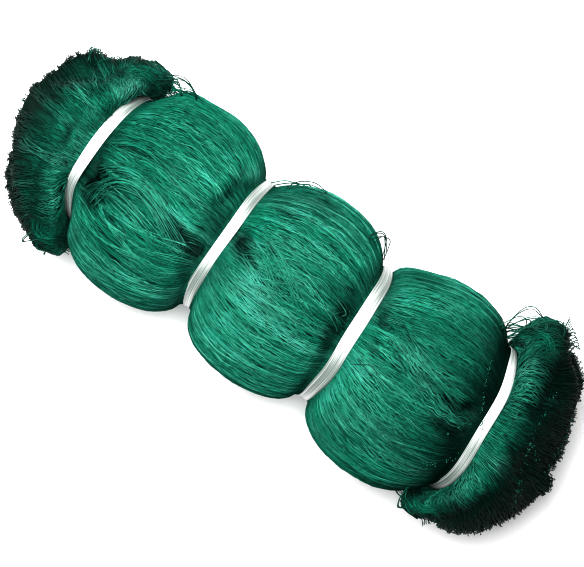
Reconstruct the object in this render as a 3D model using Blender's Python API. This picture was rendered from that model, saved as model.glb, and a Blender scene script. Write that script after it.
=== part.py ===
"""A fishing net gathered lengthwise into a hank, drawn into three lobes by four ribbon ties.

Metres, +Z up. The hank lies along X on the surface z = 0, and the origin is at the middle of
its footprint. Angles run round the hank from its left side (+Y) over its top (+Z) to its right
side (-Y).
"""

import math

import bpy
import numpy as np

# Driving dimensions
COLUMNS = 48               # facets round the hank
AXIS_HEIGHT = 0.090        # the hank's centre line above the surface
RIBBON_THICKNESS = 0.0012
SEAT_GAP = 0.0003          # between a ribbon and the net that it binds
SEAT_MARGIN = 0.0012       # flat seat left on each side of a ribbon
SEAT_FADE = 0.009          # how far from a seat the folds reach their full height
LOBE_ROWS = 9              # sections between two seats
POLE_DEPTH = 0.001         # how far the middle of a ragged end is dished

# The bound sections: where a ribbon lies and how far the net reaches there from its centre line
TIE_COLUMNS = ("x", "left", "right", "top", "bottom", "width")
TIES = (
    (-0.227, 0.0735, 0.0685, 0.0720, 0.0680, 0.0110),
    (-0.077, 0.0745, 0.0725, 0.0730, 0.0690, 0.0110),
    (0.071, 0.0715, 0.0795, 0.0740, 0.0700, 0.0130),
    (0.222, 0.0800, 0.0785, 0.0750, 0.0700, 0.0105),
)

# The lobes between them: full reach each way, and the share of the span where they are fullest
LOBE_COLUMNS = ("left", "right", "top", "bottom", "crest")
LOBES = (
    (0.1080, 0.1090, 0.0960, 0.0970, 0.53),
    (0.1030, 0.1080, 0.0940, 0.0970, 0.52),
    (0.1050, 0.1160, 0.0960, 0.0970, 0.53),
)
# How a lobe swells away from a ribbon, left, right, top and bottom: 1 - |2t - 1|^2.2 to this power
SHOULDERS = {"left": 0.80, "right": 0.50, "top": 0.70, "bottom": 0.60}
SHOULDER_POWER = 2.2

# The flared ends: full reach each way, length past the ribbon, how far each side curls back, and
# how full each side's outline is, where 2 is an ellipse and more is squarer
FLARE_COLUMNS = (
    "tie", "outward", "left", "right", "top", "bottom", "length",
    "back_left", "back_right", "fullness_left", "fullness_right",
)
FLARES = (
    (0, -1, 0.1120, 0.1130, 0.0870, 0.0980, 0.0950, 0.030, 0.042, 2.10, 2.05),
    (3, 1, 0.1280, 0.1150, 0.0890, 0.0980, 0.0990, 0.022, 0.030, 2.00, 2.60),
)
# Sections from a ribbon to the crest of a flared end: distance out as a share of its length, the
# shares of the bound and of the full reach that make its radius, and the share of the curl back
CURL_COLUMNS = ("out", "bound", "full", "back")
CURL_ROWS = (
    (0.080, 0.90, 0.10, 0.06),
    (0.090, 0.75, 0.25, 0.24),
    (0.110, 0.50, 0.50, 0.44),
    (0.140, 0.25, 0.75, 0.68),
    (0.190, 0.08, 0.92, 0.92),
    (0.260, 0.00, 0.99, 0.80),
    (0.340, 0.00, 0.97, 0.50),
)
CURL_POWER = 3.0           # how closely the curl keeps to the two sides
DOME_FROM, DOME_TO = 26.0, 81.0      # degrees round the dome that closes a flared end
DOME_ROWS = 7
DOME_CURL_POWER = 6        # how soon the curl dies out over the dome
# The top of a flared end is highest at this share of its length, and falls from there as
# (1 - v^fall)^round, with v the share of the rest, so that its upper strands run down to the rim
TOP_CREST = 0.20
TOP_FALL, TOP_ROUND = 1.5, 0.8
DROOP = 0.014              # how far the rim sags below the hank's centre line

# Main folds. Each runs from one place to another: x, angle round the hank in degrees, half width
# and height in metres, where a trough has a negative height
FOLD_COLUMNS = ("x_from", "angle_from", "x_to", "angle_to", "half_width", "height")
FOLDS = (
    (-0.206, 112.0, -0.196, 112.0, 0.017, -0.012),   # hollow beside the first ribbon
    (-0.186, 82.0, -0.092, 103.0, 0.015, -0.008),    # long crease of the first lobe
    (-0.170, 98.0, -0.110, 122.0, 0.018, 0.004),     # the lock lying over it
    (-0.093, 104.0, -0.090, 108.0, 0.020, -0.009),   # pit beside the second ribbon
    (-0.060, 84.0, -0.030, 90.0, 0.014, -0.008),     # hollow of the middle lobe
    (-0.020, 120.0, 0.040, 112.0, 0.020, 0.003),     # full part beside it
    (0.088, 66.0, 0.104, 70.0, 0.016, -0.008),       # hollow beside the third ribbon
    (0.150, 86.0, 0.205, 94.0, 0.014, -0.009),       # crease of the third lobe
    (0.140, 112.0, 0.190, 108.0, 0.018, 0.004),      # the lock lying over it
    (-0.312, 52.0, -0.268, 46.0, 0.014, -0.014),     # cleft of the left end
    (-0.262, 128.0, -0.300, 122.0, 0.022, 0.005),    # lock of the left end
    (-0.320, 142.0, -0.286, 146.0, 0.014, -0.008),   # cleft below it
    (0.322, 88.0, 0.280, 92.0, 0.013, -0.012),       # cleft of the right end
    (0.262, 118.0, 0.300, 124.0, 0.022, 0.004),      # full part below it
    (0.300, 28.0, 0.262, 20.0, 0.016, -0.008),       # cleft at its left
)

FOLD_RADIUS = 0.055        # a fold is shallower where the net's radius is less than this

NET_GREEN = (0.008, 0.190, 0.115, 1.0)
RIBBON_WHITE = (0.86, 0.86, 0.83, 1.0)


def rows(columns, table):
    """The rows of a table, each with its values under their columns' names."""
    return [dict(zip(columns, row)) for row in table]


def reach(row, angles):
    """How far a section reaches sideways and upwards at each angle: four quarter ellipses."""
    side = np.where(np.cos(angles) > 0.0, row["left"], row["right"])
    height = np.where(np.sin(angles) > 0.0, row["top"], row["bottom"])
    return np.stack([side * np.cos(angles), height * np.sin(angles)], axis=-1)


def shoulder(t, angles):
    """The share of its swelling that a lobe has at share t of its span, for each angle."""
    sideways = np.where(np.cos(angles) > 0.0, SHOULDERS["left"], SHOULDERS["right"])
    upward = np.where(np.sin(angles) > 0.0, SHOULDERS["top"], SHOULDERS["bottom"])
    power = sideways * np.cos(angles) ** 2 + upward * np.sin(angles) ** 2
    return (1.0 - abs(2.0 * t - 1.0) ** SHOULDER_POWER) ** power


def seat_half(tie):
    """Half the length of the flat seat under a ribbon."""
    return tie["width"] / 2.0 + SEAT_MARGIN


def tie_rings(tie, angles):
    """The two equal sections at the ends of a ribbon's seat."""
    section = reach(tie, angles)
    return [(np.full_like(angles, tie["x"] + side * seat_half(tie)), section) for side in (-1, 1)]


def lobe_rings(lobe, before, after, angles):
    """The sections of one lobe: the bound sections, swollen by its shoulder, closest at its ends."""
    start = before["x"] + seat_half(before)
    span = after["x"] - seat_half(after) - start
    warp = math.log(0.5) / math.log(lobe["crest"])
    full = reach(lobe, angles)
    rings = []
    for index in range(1, LOBE_ROWS + 1):
        t = 0.5 - 0.5 * math.cos(math.pi * index / (LOBE_ROWS + 1))
        bound = (1.0 - t) * reach(before, angles) + t * reach(after, angles)
        swelling = shoulder(t ** warp, angles)[:, None]
        rings.append((np.full_like(angles, start + t * span), bound + swelling * (full - bound)))
    return rings


def top_fall(out):
    """The share of its full height that the top of a flared end keeps at a share of its length."""
    v = max(out - TOP_CREST, 0.0) / (1.0 - TOP_CREST)
    return (1.0 - v ** TOP_FALL) ** TOP_ROUND


def drooped(section, out, upper):
    """A section of a flared end with its own height in its upper half, sagging towards the rim."""
    up = np.where(section[:, 1] > 0.0, section[:, 1] * upper, section[:, 1]) - DROOP * out ** 2
    return np.stack([section[:, 0], up], axis=-1)


def flare_rings(flare, ties, angles):
    """The sections of one flared end, from its ribbon outwards: sides that curl back, then a dome."""
    tie = ties[flare["tie"]]
    bound = reach(tie, angles)
    full = reach(flare, angles)
    leftward = (1.0 + np.cos(angles)) / 2.0
    curl = flare["back_right"] + leftward * (flare["back_left"] - flare["back_right"])
    curl = curl * np.abs(np.cos(angles)) ** CURL_POWER
    fullness = flare["fullness_right"] + leftward * (flare["fullness_left"] - flare["fullness_right"])
    rings = []
    for row in rows(CURL_COLUMNS, CURL_ROWS):
        out = row["out"] * flare["length"] - row["back"] * curl
        section = row["bound"] * bound + row["full"] * full
        section = drooped(section, row["out"], top_fall(row["out"]))
        rings.append((tie["x"] + flare["outward"] * out, section))
    last_back = CURL_ROWS[-1][-1]
    for turn in np.radians(np.linspace(DOME_FROM, DOME_TO, DOME_ROWS)):
        share = (1.0 - math.sin(turn) ** fullness) ** (1.0 / fullness)
        back = last_back * math.cos(turn) ** DOME_CURL_POWER
        out = math.sin(turn) * flare["length"] - back * curl
        upper = top_fall(math.sin(turn)) / share
        section = drooped(share[:, None] * full, math.sin(turn), upper)
        rings.append((tie["x"] + flare["outward"] * out, section))
    return rings


def fold_height(x, angles, radius):
    """What the folds add to each point's radius: a soft ridge or trough along each fold's line."""
    height = np.zeros_like(x)
    for fold in rows(FOLD_COLUMNS, FOLDS):
        run = fold["x_to"] - fold["x_from"]
        share = np.clip((x - fold["x_from"]) / run, 0.0, 1.0)
        angle = np.radians(fold["angle_from"] + share * (fold["angle_to"] - fold["angle_from"]))
        across = radius * (angles - angle)
        along = x - (fold["x_from"] + share * run)
        distance = np.hypot(across, along) / fold["half_width"]
        height += fold["height"] * np.exp(-distance ** 2)
    return height


def hank_rings(angles):
    """Every section of the hank from its left end to its right end."""
    ties = rows(TIE_COLUMNS, TIES)
    lobes = rows(LOBE_COLUMNS, LOBES)
    left, right = rows(FLARE_COLUMNS, FLARES)
    rings = flare_rings(left, ties, angles)[::-1]
    for index, tie in enumerate(ties):
        rings += tie_rings(tie, angles)
        if index < len(lobes):
            rings += lobe_rings(lobes[index], tie, ties[index + 1], angles)
    return rings + flare_rings(right, ties, angles)


def seat_fade(x):
    """Nought on every ribbon's seat, rising to one away from it, so that the seats stay even."""
    fade = np.ones_like(x)
    for tie in rows(TIE_COLUMNS, TIES):
        beyond = np.maximum(np.abs(x - tie["x"]) - seat_half(tie), 0.0)
        fade *= 1.0 - np.exp(-(beyond / SEAT_FADE) ** 2)
    return fade


def hank_points():
    """The hank's grid of points, row by column, lying on the surface."""
    angles = np.arange(COLUMNS) * 2.0 * math.pi / COLUMNS
    rings = hank_rings(angles)
    x = np.array([ring[0] for ring in rings])
    section = np.array([ring[1] for ring in rings])
    radius = np.linalg.norm(section, axis=-1)
    folds = fold_height(x, angles[None, :], radius) * seat_fade(x)
    section = section * (1.0 + folds / np.maximum(radius, FOLD_RADIUS))[:, :, None]
    z = np.maximum(section[:, :, 1] + AXIS_HEIGHT, 0.0)
    return np.stack([x, section[:, :, 0], z], axis=-1)


def pole(ring, outward):
    """The dished middle of a ragged end."""
    centre = ring.mean(axis=0)
    centre[0] -= outward * POLE_DEPTH
    return centre


def ribbon_points(tie):
    """The inner face of a ribbon: two edges that follow the bound section with a fine gap."""
    angles = np.arange(COLUMNS) * 2.0 * math.pi / COLUMNS
    grown = dict(tie)
    for side in ("left", "right", "top", "bottom"):
        grown[side] += SEAT_GAP
    section = reach(grown, angles)
    edges = []
    for side in (-0.5, 0.5):
        x = np.full(COLUMNS, tie["x"] + side * tie["width"])
        edges.append(np.stack([x, section[:, 0], section[:, 1] + AXIS_HEIGHT], axis=-1))
    return np.array(edges)


def grid_faces(row_count):
    """Quads between neighbouring rows of a closed grid, facing out for rows that run along +X."""
    faces = []
    for row in range(row_count - 1):
        for column in range(COLUMNS):
            right = (column + 1) % COLUMNS
            first, second = row * COLUMNS, (row + 1) * COLUMNS
            faces.append((first + column, first + right, second + right, second + column))
    return faces


def cap_faces(row, pole_index, outward):
    """Triangles that close an end row onto its pole."""
    faces = []
    for column in range(COLUMNS):
        edge = (row * COLUMNS + column, row * COLUMNS + (column + 1) % COLUMNS)
        faces.append((pole_index, *(edge if outward > 0 else edge[::-1])))
    return faces


def principled(name, color, roughness):
    """A plain finish: colour and roughness, no metal."""
    material = bpy.data.materials.new(name)
    material.use_nodes = True
    shader = material.node_tree.nodes["Principled BSDF"]
    shader.inputs["Base Color"].default_value = color
    shader.inputs["Roughness"].default_value = roughness
    shader.inputs["Metallic"].default_value = 0.0
    return material


def add_piece(name, points, faces, material, sharp_degrees):
    """One named object from points and faces, shaded smooth with its crisp edges kept."""
    mesh = bpy.data.meshes.new(name)
    mesh.from_pydata([tuple(point) for point in points], [], faces)
    mesh.materials.append(material)
    mesh.shade_smooth()
    mesh.set_sharp_from_angle(angle=math.radians(sharp_degrees))
    piece = bpy.data.objects.new(name, mesh)
    bpy.context.scene.collection.objects.link(piece)
    return piece


def build():
    """The net and its four ribbons, centred on the origin."""
    for existing in list(bpy.data.objects):
        bpy.data.objects.remove(existing, do_unlink=True)

    grid = hank_points()
    middle = (grid.reshape(-1, 3).min(axis=0) + grid.reshape(-1, 3).max(axis=0)) / 2.0
    shift = np.array([middle[0], middle[1], 0.0])

    row_count = len(grid)
    poles = [pole(grid[0], -1), pole(grid[-1], 1)]
    points = np.concatenate([grid.reshape(-1, 3), poles]) - shift
    faces = grid_faces(row_count)
    faces += cap_faces(0, row_count * COLUMNS, -1)
    faces += cap_faces(row_count - 1, row_count * COLUMNS + 1, 1)
    add_piece("net_hank", points, faces, principled("net_green", NET_GREEN, 0.55), 60.0)

    ribbon_white = principled("ribbon_white", RIBBON_WHITE, 0.25)
    for index, tie in enumerate(rows(TIE_COLUMNS, TIES)):
        edges = ribbon_points(tie).reshape(-1, 3) - shift
        ribbon = add_piece(f"tie_{index + 1}", edges, grid_faces(2), ribbon_white, 40.0)
        thickness = ribbon.modifiers.new("thickness", "SOLIDIFY")
        thickness.thickness = RIBBON_THICKNESS
        thickness.offset = 1.0
        thickness.use_even_offset = True


build()
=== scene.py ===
import math

import bpy
import numpy as np
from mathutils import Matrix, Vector


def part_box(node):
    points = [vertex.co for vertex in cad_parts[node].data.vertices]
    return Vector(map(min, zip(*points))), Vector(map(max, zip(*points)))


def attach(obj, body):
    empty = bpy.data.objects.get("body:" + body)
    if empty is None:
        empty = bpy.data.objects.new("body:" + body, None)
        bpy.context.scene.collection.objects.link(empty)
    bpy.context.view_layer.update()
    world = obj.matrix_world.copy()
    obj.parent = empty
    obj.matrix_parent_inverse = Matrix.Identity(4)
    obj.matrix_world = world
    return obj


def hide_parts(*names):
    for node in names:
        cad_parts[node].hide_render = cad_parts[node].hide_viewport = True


# A fishing net gathered lengthwise into a hank, drawn into three lobes by four ribbon ties, with two
# flared ragged ends. Metres, +Z up, the hank along X. Angles run round it from its left side (+Y)
# over its top (+Z) to its right side (-Y). Every piece is a surface worked out on a grid with numpy.

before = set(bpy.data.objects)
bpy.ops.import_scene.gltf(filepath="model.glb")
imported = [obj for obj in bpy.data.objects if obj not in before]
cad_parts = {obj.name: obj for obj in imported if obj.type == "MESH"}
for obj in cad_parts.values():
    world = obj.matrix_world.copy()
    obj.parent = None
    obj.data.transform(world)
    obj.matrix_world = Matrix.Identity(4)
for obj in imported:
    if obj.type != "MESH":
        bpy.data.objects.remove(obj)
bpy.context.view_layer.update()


# Small sums used throughout

def bell(offset, width):
    # A Gaussian: one in its middle, 1/e at one width from it
    return np.exp(-((offset / width) ** 2))


def rising(value, length):
    # Nought up to nought, then a straight line to one at the length
    return np.clip(value / length, 0, 1)


def darkened(shade, *more):
    # Shades laid over one another: one less the product of one less each
    for extra in more:
        shade = 1 - (1 - shade) * (1 - extra)
    return shade


def unit(vectors):
    return vectors / np.maximum(np.linalg.norm(vectors, axis=-1, keepdims=True), 1e-12)


# The hank's form, the same as in the solid

hank = {
    "centreAcross": -0.0054,    # the hank's centre line
    "centreHeight": 0.0900,
    "ribbonStandoff": 0.0015,   # from the bound net to the outer face of a solid ribbon
    "seatMargin": 0.0012,       # flat seat on each side of a ribbon
    "seatFade": 0.0090,         # how far from a seat the folds reach their full height
    "lowest": 0.0007,           # the lowest strands' centres above the surface
    "upperFade": 0.03,          # how far over mid-height the marks seen from above reach their full depth
    # full reach of the lobes to the left, right, top and bottom, and where they are fullest
    "lobes": (
        (0.1080, 0.1090, 0.0960, 0.0970, 0.53),
        (0.1030, 0.1080, 0.0940, 0.0970, 0.52),
        (0.1050, 0.1160, 0.0960, 0.0970, 0.53),
    ),
    "shoulders": (0.80, 0.50, 0.70, 0.60),  # how a lobe swells to the left, right, top and bottom
    "shoulderPower": 2.2,
    "foldRadius": 0.055,        # a fold is shallower where the hank's radius is less than this
}

# Main folds, each along a line: x and angle at its start, x and angle at its end, half width, height
folds = (
    (-0.206, 112, -0.196, 112, 0.017, -0.012),
    (-0.186, 82, -0.092, 103, 0.015, -0.008),
    (-0.170, 98, -0.110, 122, 0.018, 0.004),
    (-0.093, 104, -0.090, 108, 0.020, -0.009),
    (-0.060, 84, -0.030, 90, 0.014, -0.008),
    (-0.020, 120, 0.040, 112, 0.020, 0.003),
    (0.088, 66, 0.104, 70, 0.016, -0.008),
    (0.150, 86, 0.205, 94, 0.014, -0.009),
    (0.140, 112, 0.190, 108, 0.018, 0.004),
    (-0.312, 52, -0.268, 46, 0.014, -0.014),
    (-0.262, 128, -0.300, 122, 0.022, 0.005),
    (-0.320, 142, -0.286, 146, 0.014, -0.008),
    (0.322, 88, 0.280, 92, 0.013, -0.012),
    (0.262, 118, 0.300, 124, 0.022, 0.004),
    (0.300, 28, 0.262, 20, 0.016, -0.008),
)

# Full reach of a flared end to the left, right, top and bottom, its length past the ribbon, how far its
# left and right sides curl back, how full the outline of its left and right sides is, and where its rim
# bulges out or is cleft: y, half width, distance
flares = {
    "left": {"tie": 0, "outward": -1, "sides": (0.1120, 0.1130, 0.0870, 0.0980), "length": 0.0950,
             "back": (0.030, 0.042), "fullness": (2.10, 2.05),
             "bulges": ((0.015, 0.050, 0.009), (0.066, 0.006, -0.010), (-0.052, 0.006, -0.004))},
    "right": {"tie": 3, "outward": 1, "sides": (0.1280, 0.1150, 0.0890, 0.0980), "length": 0.0990,
              "back": (0.022, 0.030), "fullness": (2.00, 2.60),
              "bulges": ((-0.038, 0.030, 0.008), (-0.002, 0.005, -0.006), (0.085, 0.028, 0.006))},
}

# Sections from a ribbon to the crest of a flared end: distance out as a share of the length, shares
# of the bound and the full reach, share of the curl
curlRows = np.array((
    (0.070, 1.00, 0.00, 0.00),
    (0.080, 0.90, 0.10, 0.06),
    (0.090, 0.75, 0.25, 0.24),
    (0.110, 0.50, 0.50, 0.44),
    (0.140, 0.25, 0.75, 0.68),
    (0.190, 0.08, 0.92, 0.92),
    (0.260, 0.00, 0.99, 0.80),
    (0.340, 0.00, 0.97, 0.50),
))
curlPower = 3.0
domeFrom = math.radians(26)     # where the dome that closes a flared end begins
domeCurlPower = 6
topCrest, topFall, topRound = 0.20, 1.5, 0.8    # how the top falls from its crest to the rim
droop = 0.014                   # how far the rim sags below the hank's centre line


def readTie(node):
    # A ribbon's place, width and the net's reach under it, from its solid's box
    low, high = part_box(node)
    off = hank["ribbonStandoff"]
    return {
        "x": (low.x + high.x) / 2,
        "width": high.x - low.x,
        "half": (high.x - low.x) / 2 + hank["seatMargin"],
        "sides": (high.y - hank["centreAcross"] - off, hank["centreAcross"] - low.y - off,
                  high.z - hank["centreHeight"] - off, hank["centreHeight"] - low.z - off),
    }


ties = [readTie(f"tie_{number}") for number in range(1, 5)]


def reach(sides, angle):
    # Four quarter ellipses: left or right times the cosine, top or bottom times the sine
    left, right, top, bottom = sides
    across = np.where(np.cos(angle) > 0, left, right) * np.cos(angle)
    up = np.where(np.sin(angle) > 0, top, bottom) * np.sin(angle)
    return np.stack([across, up], axis=-1)


def seatFade(x):
    # Nought on each ribbon's seat, rising to one as a Gaussian of the distance beyond it
    fade = np.ones_like(x)
    for tie in ties:
        beyond = np.maximum(np.abs(x - tie["x"]) - tie["half"], 0)
        fade = fade * (1 - bell(beyond, hank["seatFade"]))
    return fade


def wrapped(angle):
    # The same angle between minus and plus half a turn
    return (angle + math.pi) % (2 * math.pi) - math.pi


def foldHeight(x, angle, radius):
    # The sum over the folds of height times a Gaussian of the distance to the fold's line
    height = np.zeros_like(x)
    for xFrom, angleFrom, xTo, angleTo, halfWidth, rise in folds:
        share = np.clip((x - xFrom) / (xTo - xFrom), 0, 1)
        centre = np.radians(angleFrom + share * (angleTo - angleFrom))
        across = radius * wrapped(angle - centre)
        along = x - (xFrom + share * (xTo - xFrom))
        height = height + rise * np.exp(-(across ** 2 + along ** 2) / halfWidth ** 2)
    return height


def onHank(x, section, angle):
    # A point of the hank: its section grown by the folds, moved to the centre line, kept off the surface
    radius = np.linalg.norm(section, axis=-1)
    folded = foldHeight(x, angle, radius) * seatFade(x)
    grown = 1 + folded / np.maximum(radius, hank["foldRadius"])
    section = section * grown[..., None]
    up = np.maximum(section[..., 1] + hank["centreHeight"], hank["lowest"])
    return np.stack([x, section[..., 0] + hank["centreAcross"], up], axis=-1)


def lobeForm(index):
    # The surface of one lobe. share runs from one seat's edge to the next: the bound reach, swollen by
    # (1 - |2t - 1|^shoulderPower)^shoulder, with t the share warped so that it is fullest at the crest
    before, after = ties[index], ties[index + 1]
    start, end = before["x"] + before["half"], after["x"] - after["half"]
    *full, crest = hank["lobes"][index]
    warp = math.log(0.5) / math.log(crest)

    def form(share, angle):
        inside = np.clip(share, 0, 1)
        left, right, top, bottom = hank["shoulders"]
        sideways = np.where(np.cos(angle) > 0, left, right)
        upward = np.where(np.sin(angle) > 0, top, bottom)
        power = sideways * np.cos(angle) ** 2 + upward * np.sin(angle) ** 2
        swelling = (1 - np.abs(2 * inside ** warp - 1) ** hank["shoulderPower"]) ** power
        later = inside[..., None]
        bound = (1 - later) * reach(before["sides"], angle) + later * reach(after["sides"], angle)
        section = bound + swelling[..., None] * (reach(full, angle) - bound)
        return onHank(start + share * (end - start), section, angle)

    return form


def flareRows(flare, row, angle):
    # Out, bound, full, back and top shares at a row of a flared end: the curl's rows up to 7, then from
    # 8 to 15 a dome, out = sine of the turn and full = (1 - out^n)^(1/n). The top share is
    # (1 - v^fall)^round, with v the share of the way from the crest to the rim
    steps = np.arange(len(curlRows))
    earlyOut, earlyBound, earlyFull, earlyBack = [np.interp(row, steps, column) for column in curlRows.T]
    leftward = (1 + np.cos(angle)) / 2
    fullness = flare["fullness"][1] + leftward * (flare["fullness"][0] - flare["fullness"][1])
    turn = domeFrom + rising(row - 8, 7) * (math.pi / 2 - domeFrom)
    domeFull = (1 - np.minimum(np.sin(turn), 1) ** fullness) ** (1 / fullness)
    domeBack = curlRows[-1, 3] * np.cos(turn) ** domeCurlPower
    join = np.clip(row - 7, 0, 1)
    out = (1 - join) * earlyOut + join * np.sin(turn)
    full = (1 - join) * earlyFull + join * domeFull
    back = (1 - join) * earlyBack + join * domeBack
    fall = rising(out - topCrest, 1 - topCrest)
    top = (join + (1 - join) * earlyFull) * (1 - fall ** topFall) ** topRound
    return out, earlyBound * (1 - join), full, back, top


def flareForm(flare):
    # The surface of one flared end, by row and angle: a section between the bound and the full reach,
    # moved out along X and drawn back at its two sides by the curl
    tie = ties[flare["tie"]]
    seat = tie["half"] / flare["length"]

    def form(row, angle):
        out, bound, full, back, top = flareRows(flare, row, angle)
        out = np.where(row < 1, seat + np.clip(row, -1, 1) * (curlRows[1, 0] - seat), out)
        leftward = (1 + np.cos(angle)) / 2
        curl = flare["back"][1] + leftward * (flare["back"][0] - flare["back"][1])
        curl = curl * np.abs(np.cos(angle)) ** curlPower
        upward = np.where(np.sin(angle) > 0, top, full)
        shares = np.stack([full, upward], axis=-1)
        section = bound[..., None] * reach(tie["sides"], angle) + shares * reach(flare["sides"], angle)
        section[..., 1] -= droop * out ** 2
        bulge = sum(rise * bell(section[..., 0] + hank["centreAcross"] - y, half)
                    for y, half, rise in flare["bulges"])
        x = tie["x"] + flare["outward"] * (out * flare["length"] - back * curl + bulge * out ** 4)
        return onHank(x, section, angle)

    return form


def formNormal(form, along, angle, step=1e-3):
    # The direction square to a form: the cross product of its steps round the hank and along it
    around = form(along, angle + step) - form(along, angle - step)
    ahead = form(along + step, angle) - form(along - step, angle)
    return unit(np.cross(around, ahead))


def upperShare(points):
    # Nought up to mid-height, rising to one over the fade
    return rising(points[..., 2] - hank["centreHeight"], hank["upperFade"])


def keptUp(path):
    # Nothing lies lower than the lowest strands
    path[..., 2] = np.maximum(path[..., 2], hank["lowest"])
    return path


# Nodes as expressions

class Wire:
    # A socket that can stand in a sum: every operator adds a Math node to its tree
    def __init__(self, tree, socket):
        self.tree, self.socket = tree, socket

    def math(self, operation, *values):
        made = self.tree.nodes.new("ShaderNodeMath")
        made.operation = operation
        for slot, value in zip(made.inputs, values):
            if isinstance(value, Wire):
                self.tree.links.new(value.socket, slot)
            else:
                slot.default_value = value
        return Wire(self.tree, made.outputs[0])

    def __add__(self, other):
        return self.math("ADD", self, other)

    def __radd__(self, other):
        return self.math("ADD", other, self)

    def __sub__(self, other):
        return self.math("SUBTRACT", self, other)

    def __rsub__(self, other):
        return self.math("SUBTRACT", other, self)

    def __mul__(self, other):
        return self.math("MULTIPLY", self, other)

    def __rmul__(self, other):
        return self.math("MULTIPLY", other, self)

    def __truediv__(self, other):
        return self.math("DIVIDE", self, other)

    def clipped(self):
        return self.math("MINIMUM", self.math("MAXIMUM", self, 0.0), 1.0)

    def over(self, start, steepness):
        # (value - start) * steepness, held between 0 and 1
        return ((self - start) * steepness).clipped()


class Finish:
    # A material and its one Principled shader
    def __init__(self, name, **constants):
        self.material = bpy.data.materials.new(name)
        self.material.use_nodes = True
        self.tree = self.material.node_tree
        self.shader = self.tree.nodes["Principled BSDF"]
        for label, value in constants.items():
            self.shader.inputs[label.replace("_", " ")].default_value = value

    def node(self, kind, settings=None, output=0, **inputs):
        # A node of any type: its settings first, then the values or links of its sockets, by name or
        # as i and the socket's number
        made = self.tree.nodes.new(kind)
        for label, value in (settings or {}).items():
            setattr(made, label, value)
        for label, value in inputs.items():
            numbered = label[0] == "i" and label[1:].isdigit()
            slot = made.inputs[int(label[1:]) if numbered else label]
            if isinstance(value, Wire):
                self.tree.links.new(value.socket, slot)
            else:
                slot.default_value = value
        return Wire(self.tree, made.outputs[output])

    def attribute(self, name):
        return self.node("ShaderNodeAttribute", {"attribute_name": name}, output=2)

    def noise(self, vector, scale, detail=2.0, start=(0, 0, 0)):
        # Noise on a vector that is stretched by the scale
        stretched = self.node("ShaderNodeMapping", Vector=vector, Scale=scale, Location=start)
        return self.node("ShaderNodeTexNoise", Vector=stretched, Scale=1.0, Detail=detail)

    def runNoise(self, scale, detail=2.0, start=(0, 0, 0)):
        # Noise on the map that runs along each strand or ribbon
        return self.noise(self.node("ShaderNodeUVMap", {"uv_map": "run"}), scale, detail, start)

    def mixed(self, share, first, second):
        # A colour between two: Mix node in colour mode, sockets 6 and 7
        return self.node("ShaderNodeMix", {"data_type": "RGBA"}, output=2,
                         i0=share, i6=first, i7=second)

    def feed(self, label, wire):
        self.tree.links.new(wire.socket, self.shader.inputs[label])

    def bump(self, strength, distance, height):
        bumped = self.node("ShaderNodeBump", Strength=strength, Distance=distance, Height=height)
        self.feed("Normal", bumped)


# Finishes

twineLook = {
    "deep": (0.0018, 0.0170, 0.0120, 1),    # painted shade in the folds, and the dark strokes
    # the darkest strands, and the lower strands darkened as painted shade
    "dullAndShaded": (0.0020, 0.070, 0.045, 1),
    "green": (0.0100, 0.180, 0.122, 1),     # the twine's own colour
    "bright": (0.0900, 0.370, 0.290, 1),    # the palest strands, and where painted light raises the tone
    "roughness": 0.50,
    "roughSpread": 0.25,            # how far the dashes change the roughness
    "specular": 0.06,
    "dashScale": (120, 1, 1),       # dashes to a metre of strand
    "dashes": 0.42,                 # how far the dashes change the tone
    "strokeScale": (90, 1, 1),      # dark strokes to a metre of strand
    "strokeStart": (3, 7, 0),
    "strokeEdge": (0.55, 9.0),      # how much noise makes a stroke, and how sharp it is
    "stroke": 0.54,                 # how dark they are
    "driftScale": (18, 45, 45),     # slow changes over the whole hank
    "drift": 0.5,
}


def twineFinish():
    # Colour runs from dull to bright with the strand's own tone, which also carries painted light and the
    # lower strands' painted shade, plus noise drawn out into dashes along each strand and a slow drift over
    # the whole hank. Strokes and the painted shade of the shade attribute turn it to the deep colour:
    # 1 - (1 - strokes)(1 - shade)
    look = twineLook
    made = Finish("twineGreen", Roughness=look["roughness"], Specular_IOR_Level=look["specular"])
    dashes = made.runNoise(look["dashScale"], 1.0) - 0.5
    place = made.node("ShaderNodeTexCoord", output=3)
    drift = made.noise(place, look["driftScale"]) - 0.5
    tone = (made.attribute("tone") + dashes * look["dashes"] + drift * look["drift"]).clipped()
    lower = made.mixed((tone * 2.0).clipped(), look["dullAndShaded"], look["green"])
    upper = made.mixed((tone * 2.0 - 1.0).clipped(), lower, look["bright"])
    strokes = made.runNoise(look["strokeScale"], start=look["strokeStart"])
    strokes = strokes.over(*look["strokeEdge"]) * look["stroke"]
    dark = 1.0 - (1.0 - strokes) * (1.0 - made.attribute("shade").clipped())
    made.feed("Base Color", made.mixed(dark, upper, look["deep"]))
    made.feed("Roughness", look["roughness"] + dashes * look["roughSpread"])
    return made.material


underLook = {
    # the lower twine, dark with painted shade
    "colour": (0.0015, 0.040, 0.027, 1),
    "roughness": 0.8,
    "specular": 0.05,
    "lineScale": (1100, 60, 1),     # fine lines of single twines
    "lineEdge": (0.36, 3.0),
    "gapScale": (380, 35, 1),       # broader ones of gaps between them, in painted shade
    "gapEdge": (0.48, 5.0),
    "bump": (0.8, 0.0008),
}


def underFinish():
    # Lower twine seen between the strands, dark with painted shade: two noises drawn out into lines along
    # the hank, the finer one between the under colour and green, the broader one of gaps and the painted
    # shade attribute down to the deep colour
    look = underLook
    made = Finish("twineUnder", Roughness=look["roughness"], Specular_IOR_Level=look["specular"])
    lines = made.runNoise(look["lineScale"], 2.0)
    gaps = made.runNoise(look["gapScale"], 1.0)
    colour = made.mixed(lines.over(*look["lineEdge"]), look["colour"], twineLook["green"])
    colour = made.mixed(gaps.over(*look["gapEdge"]), colour, twineLook["deep"])
    made.feed("Base Color", made.mixed(made.attribute("shade").clipped(), colour, twineLook["deep"]))
    made.bump(*look["bump"], lines)
    return made.material


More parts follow.
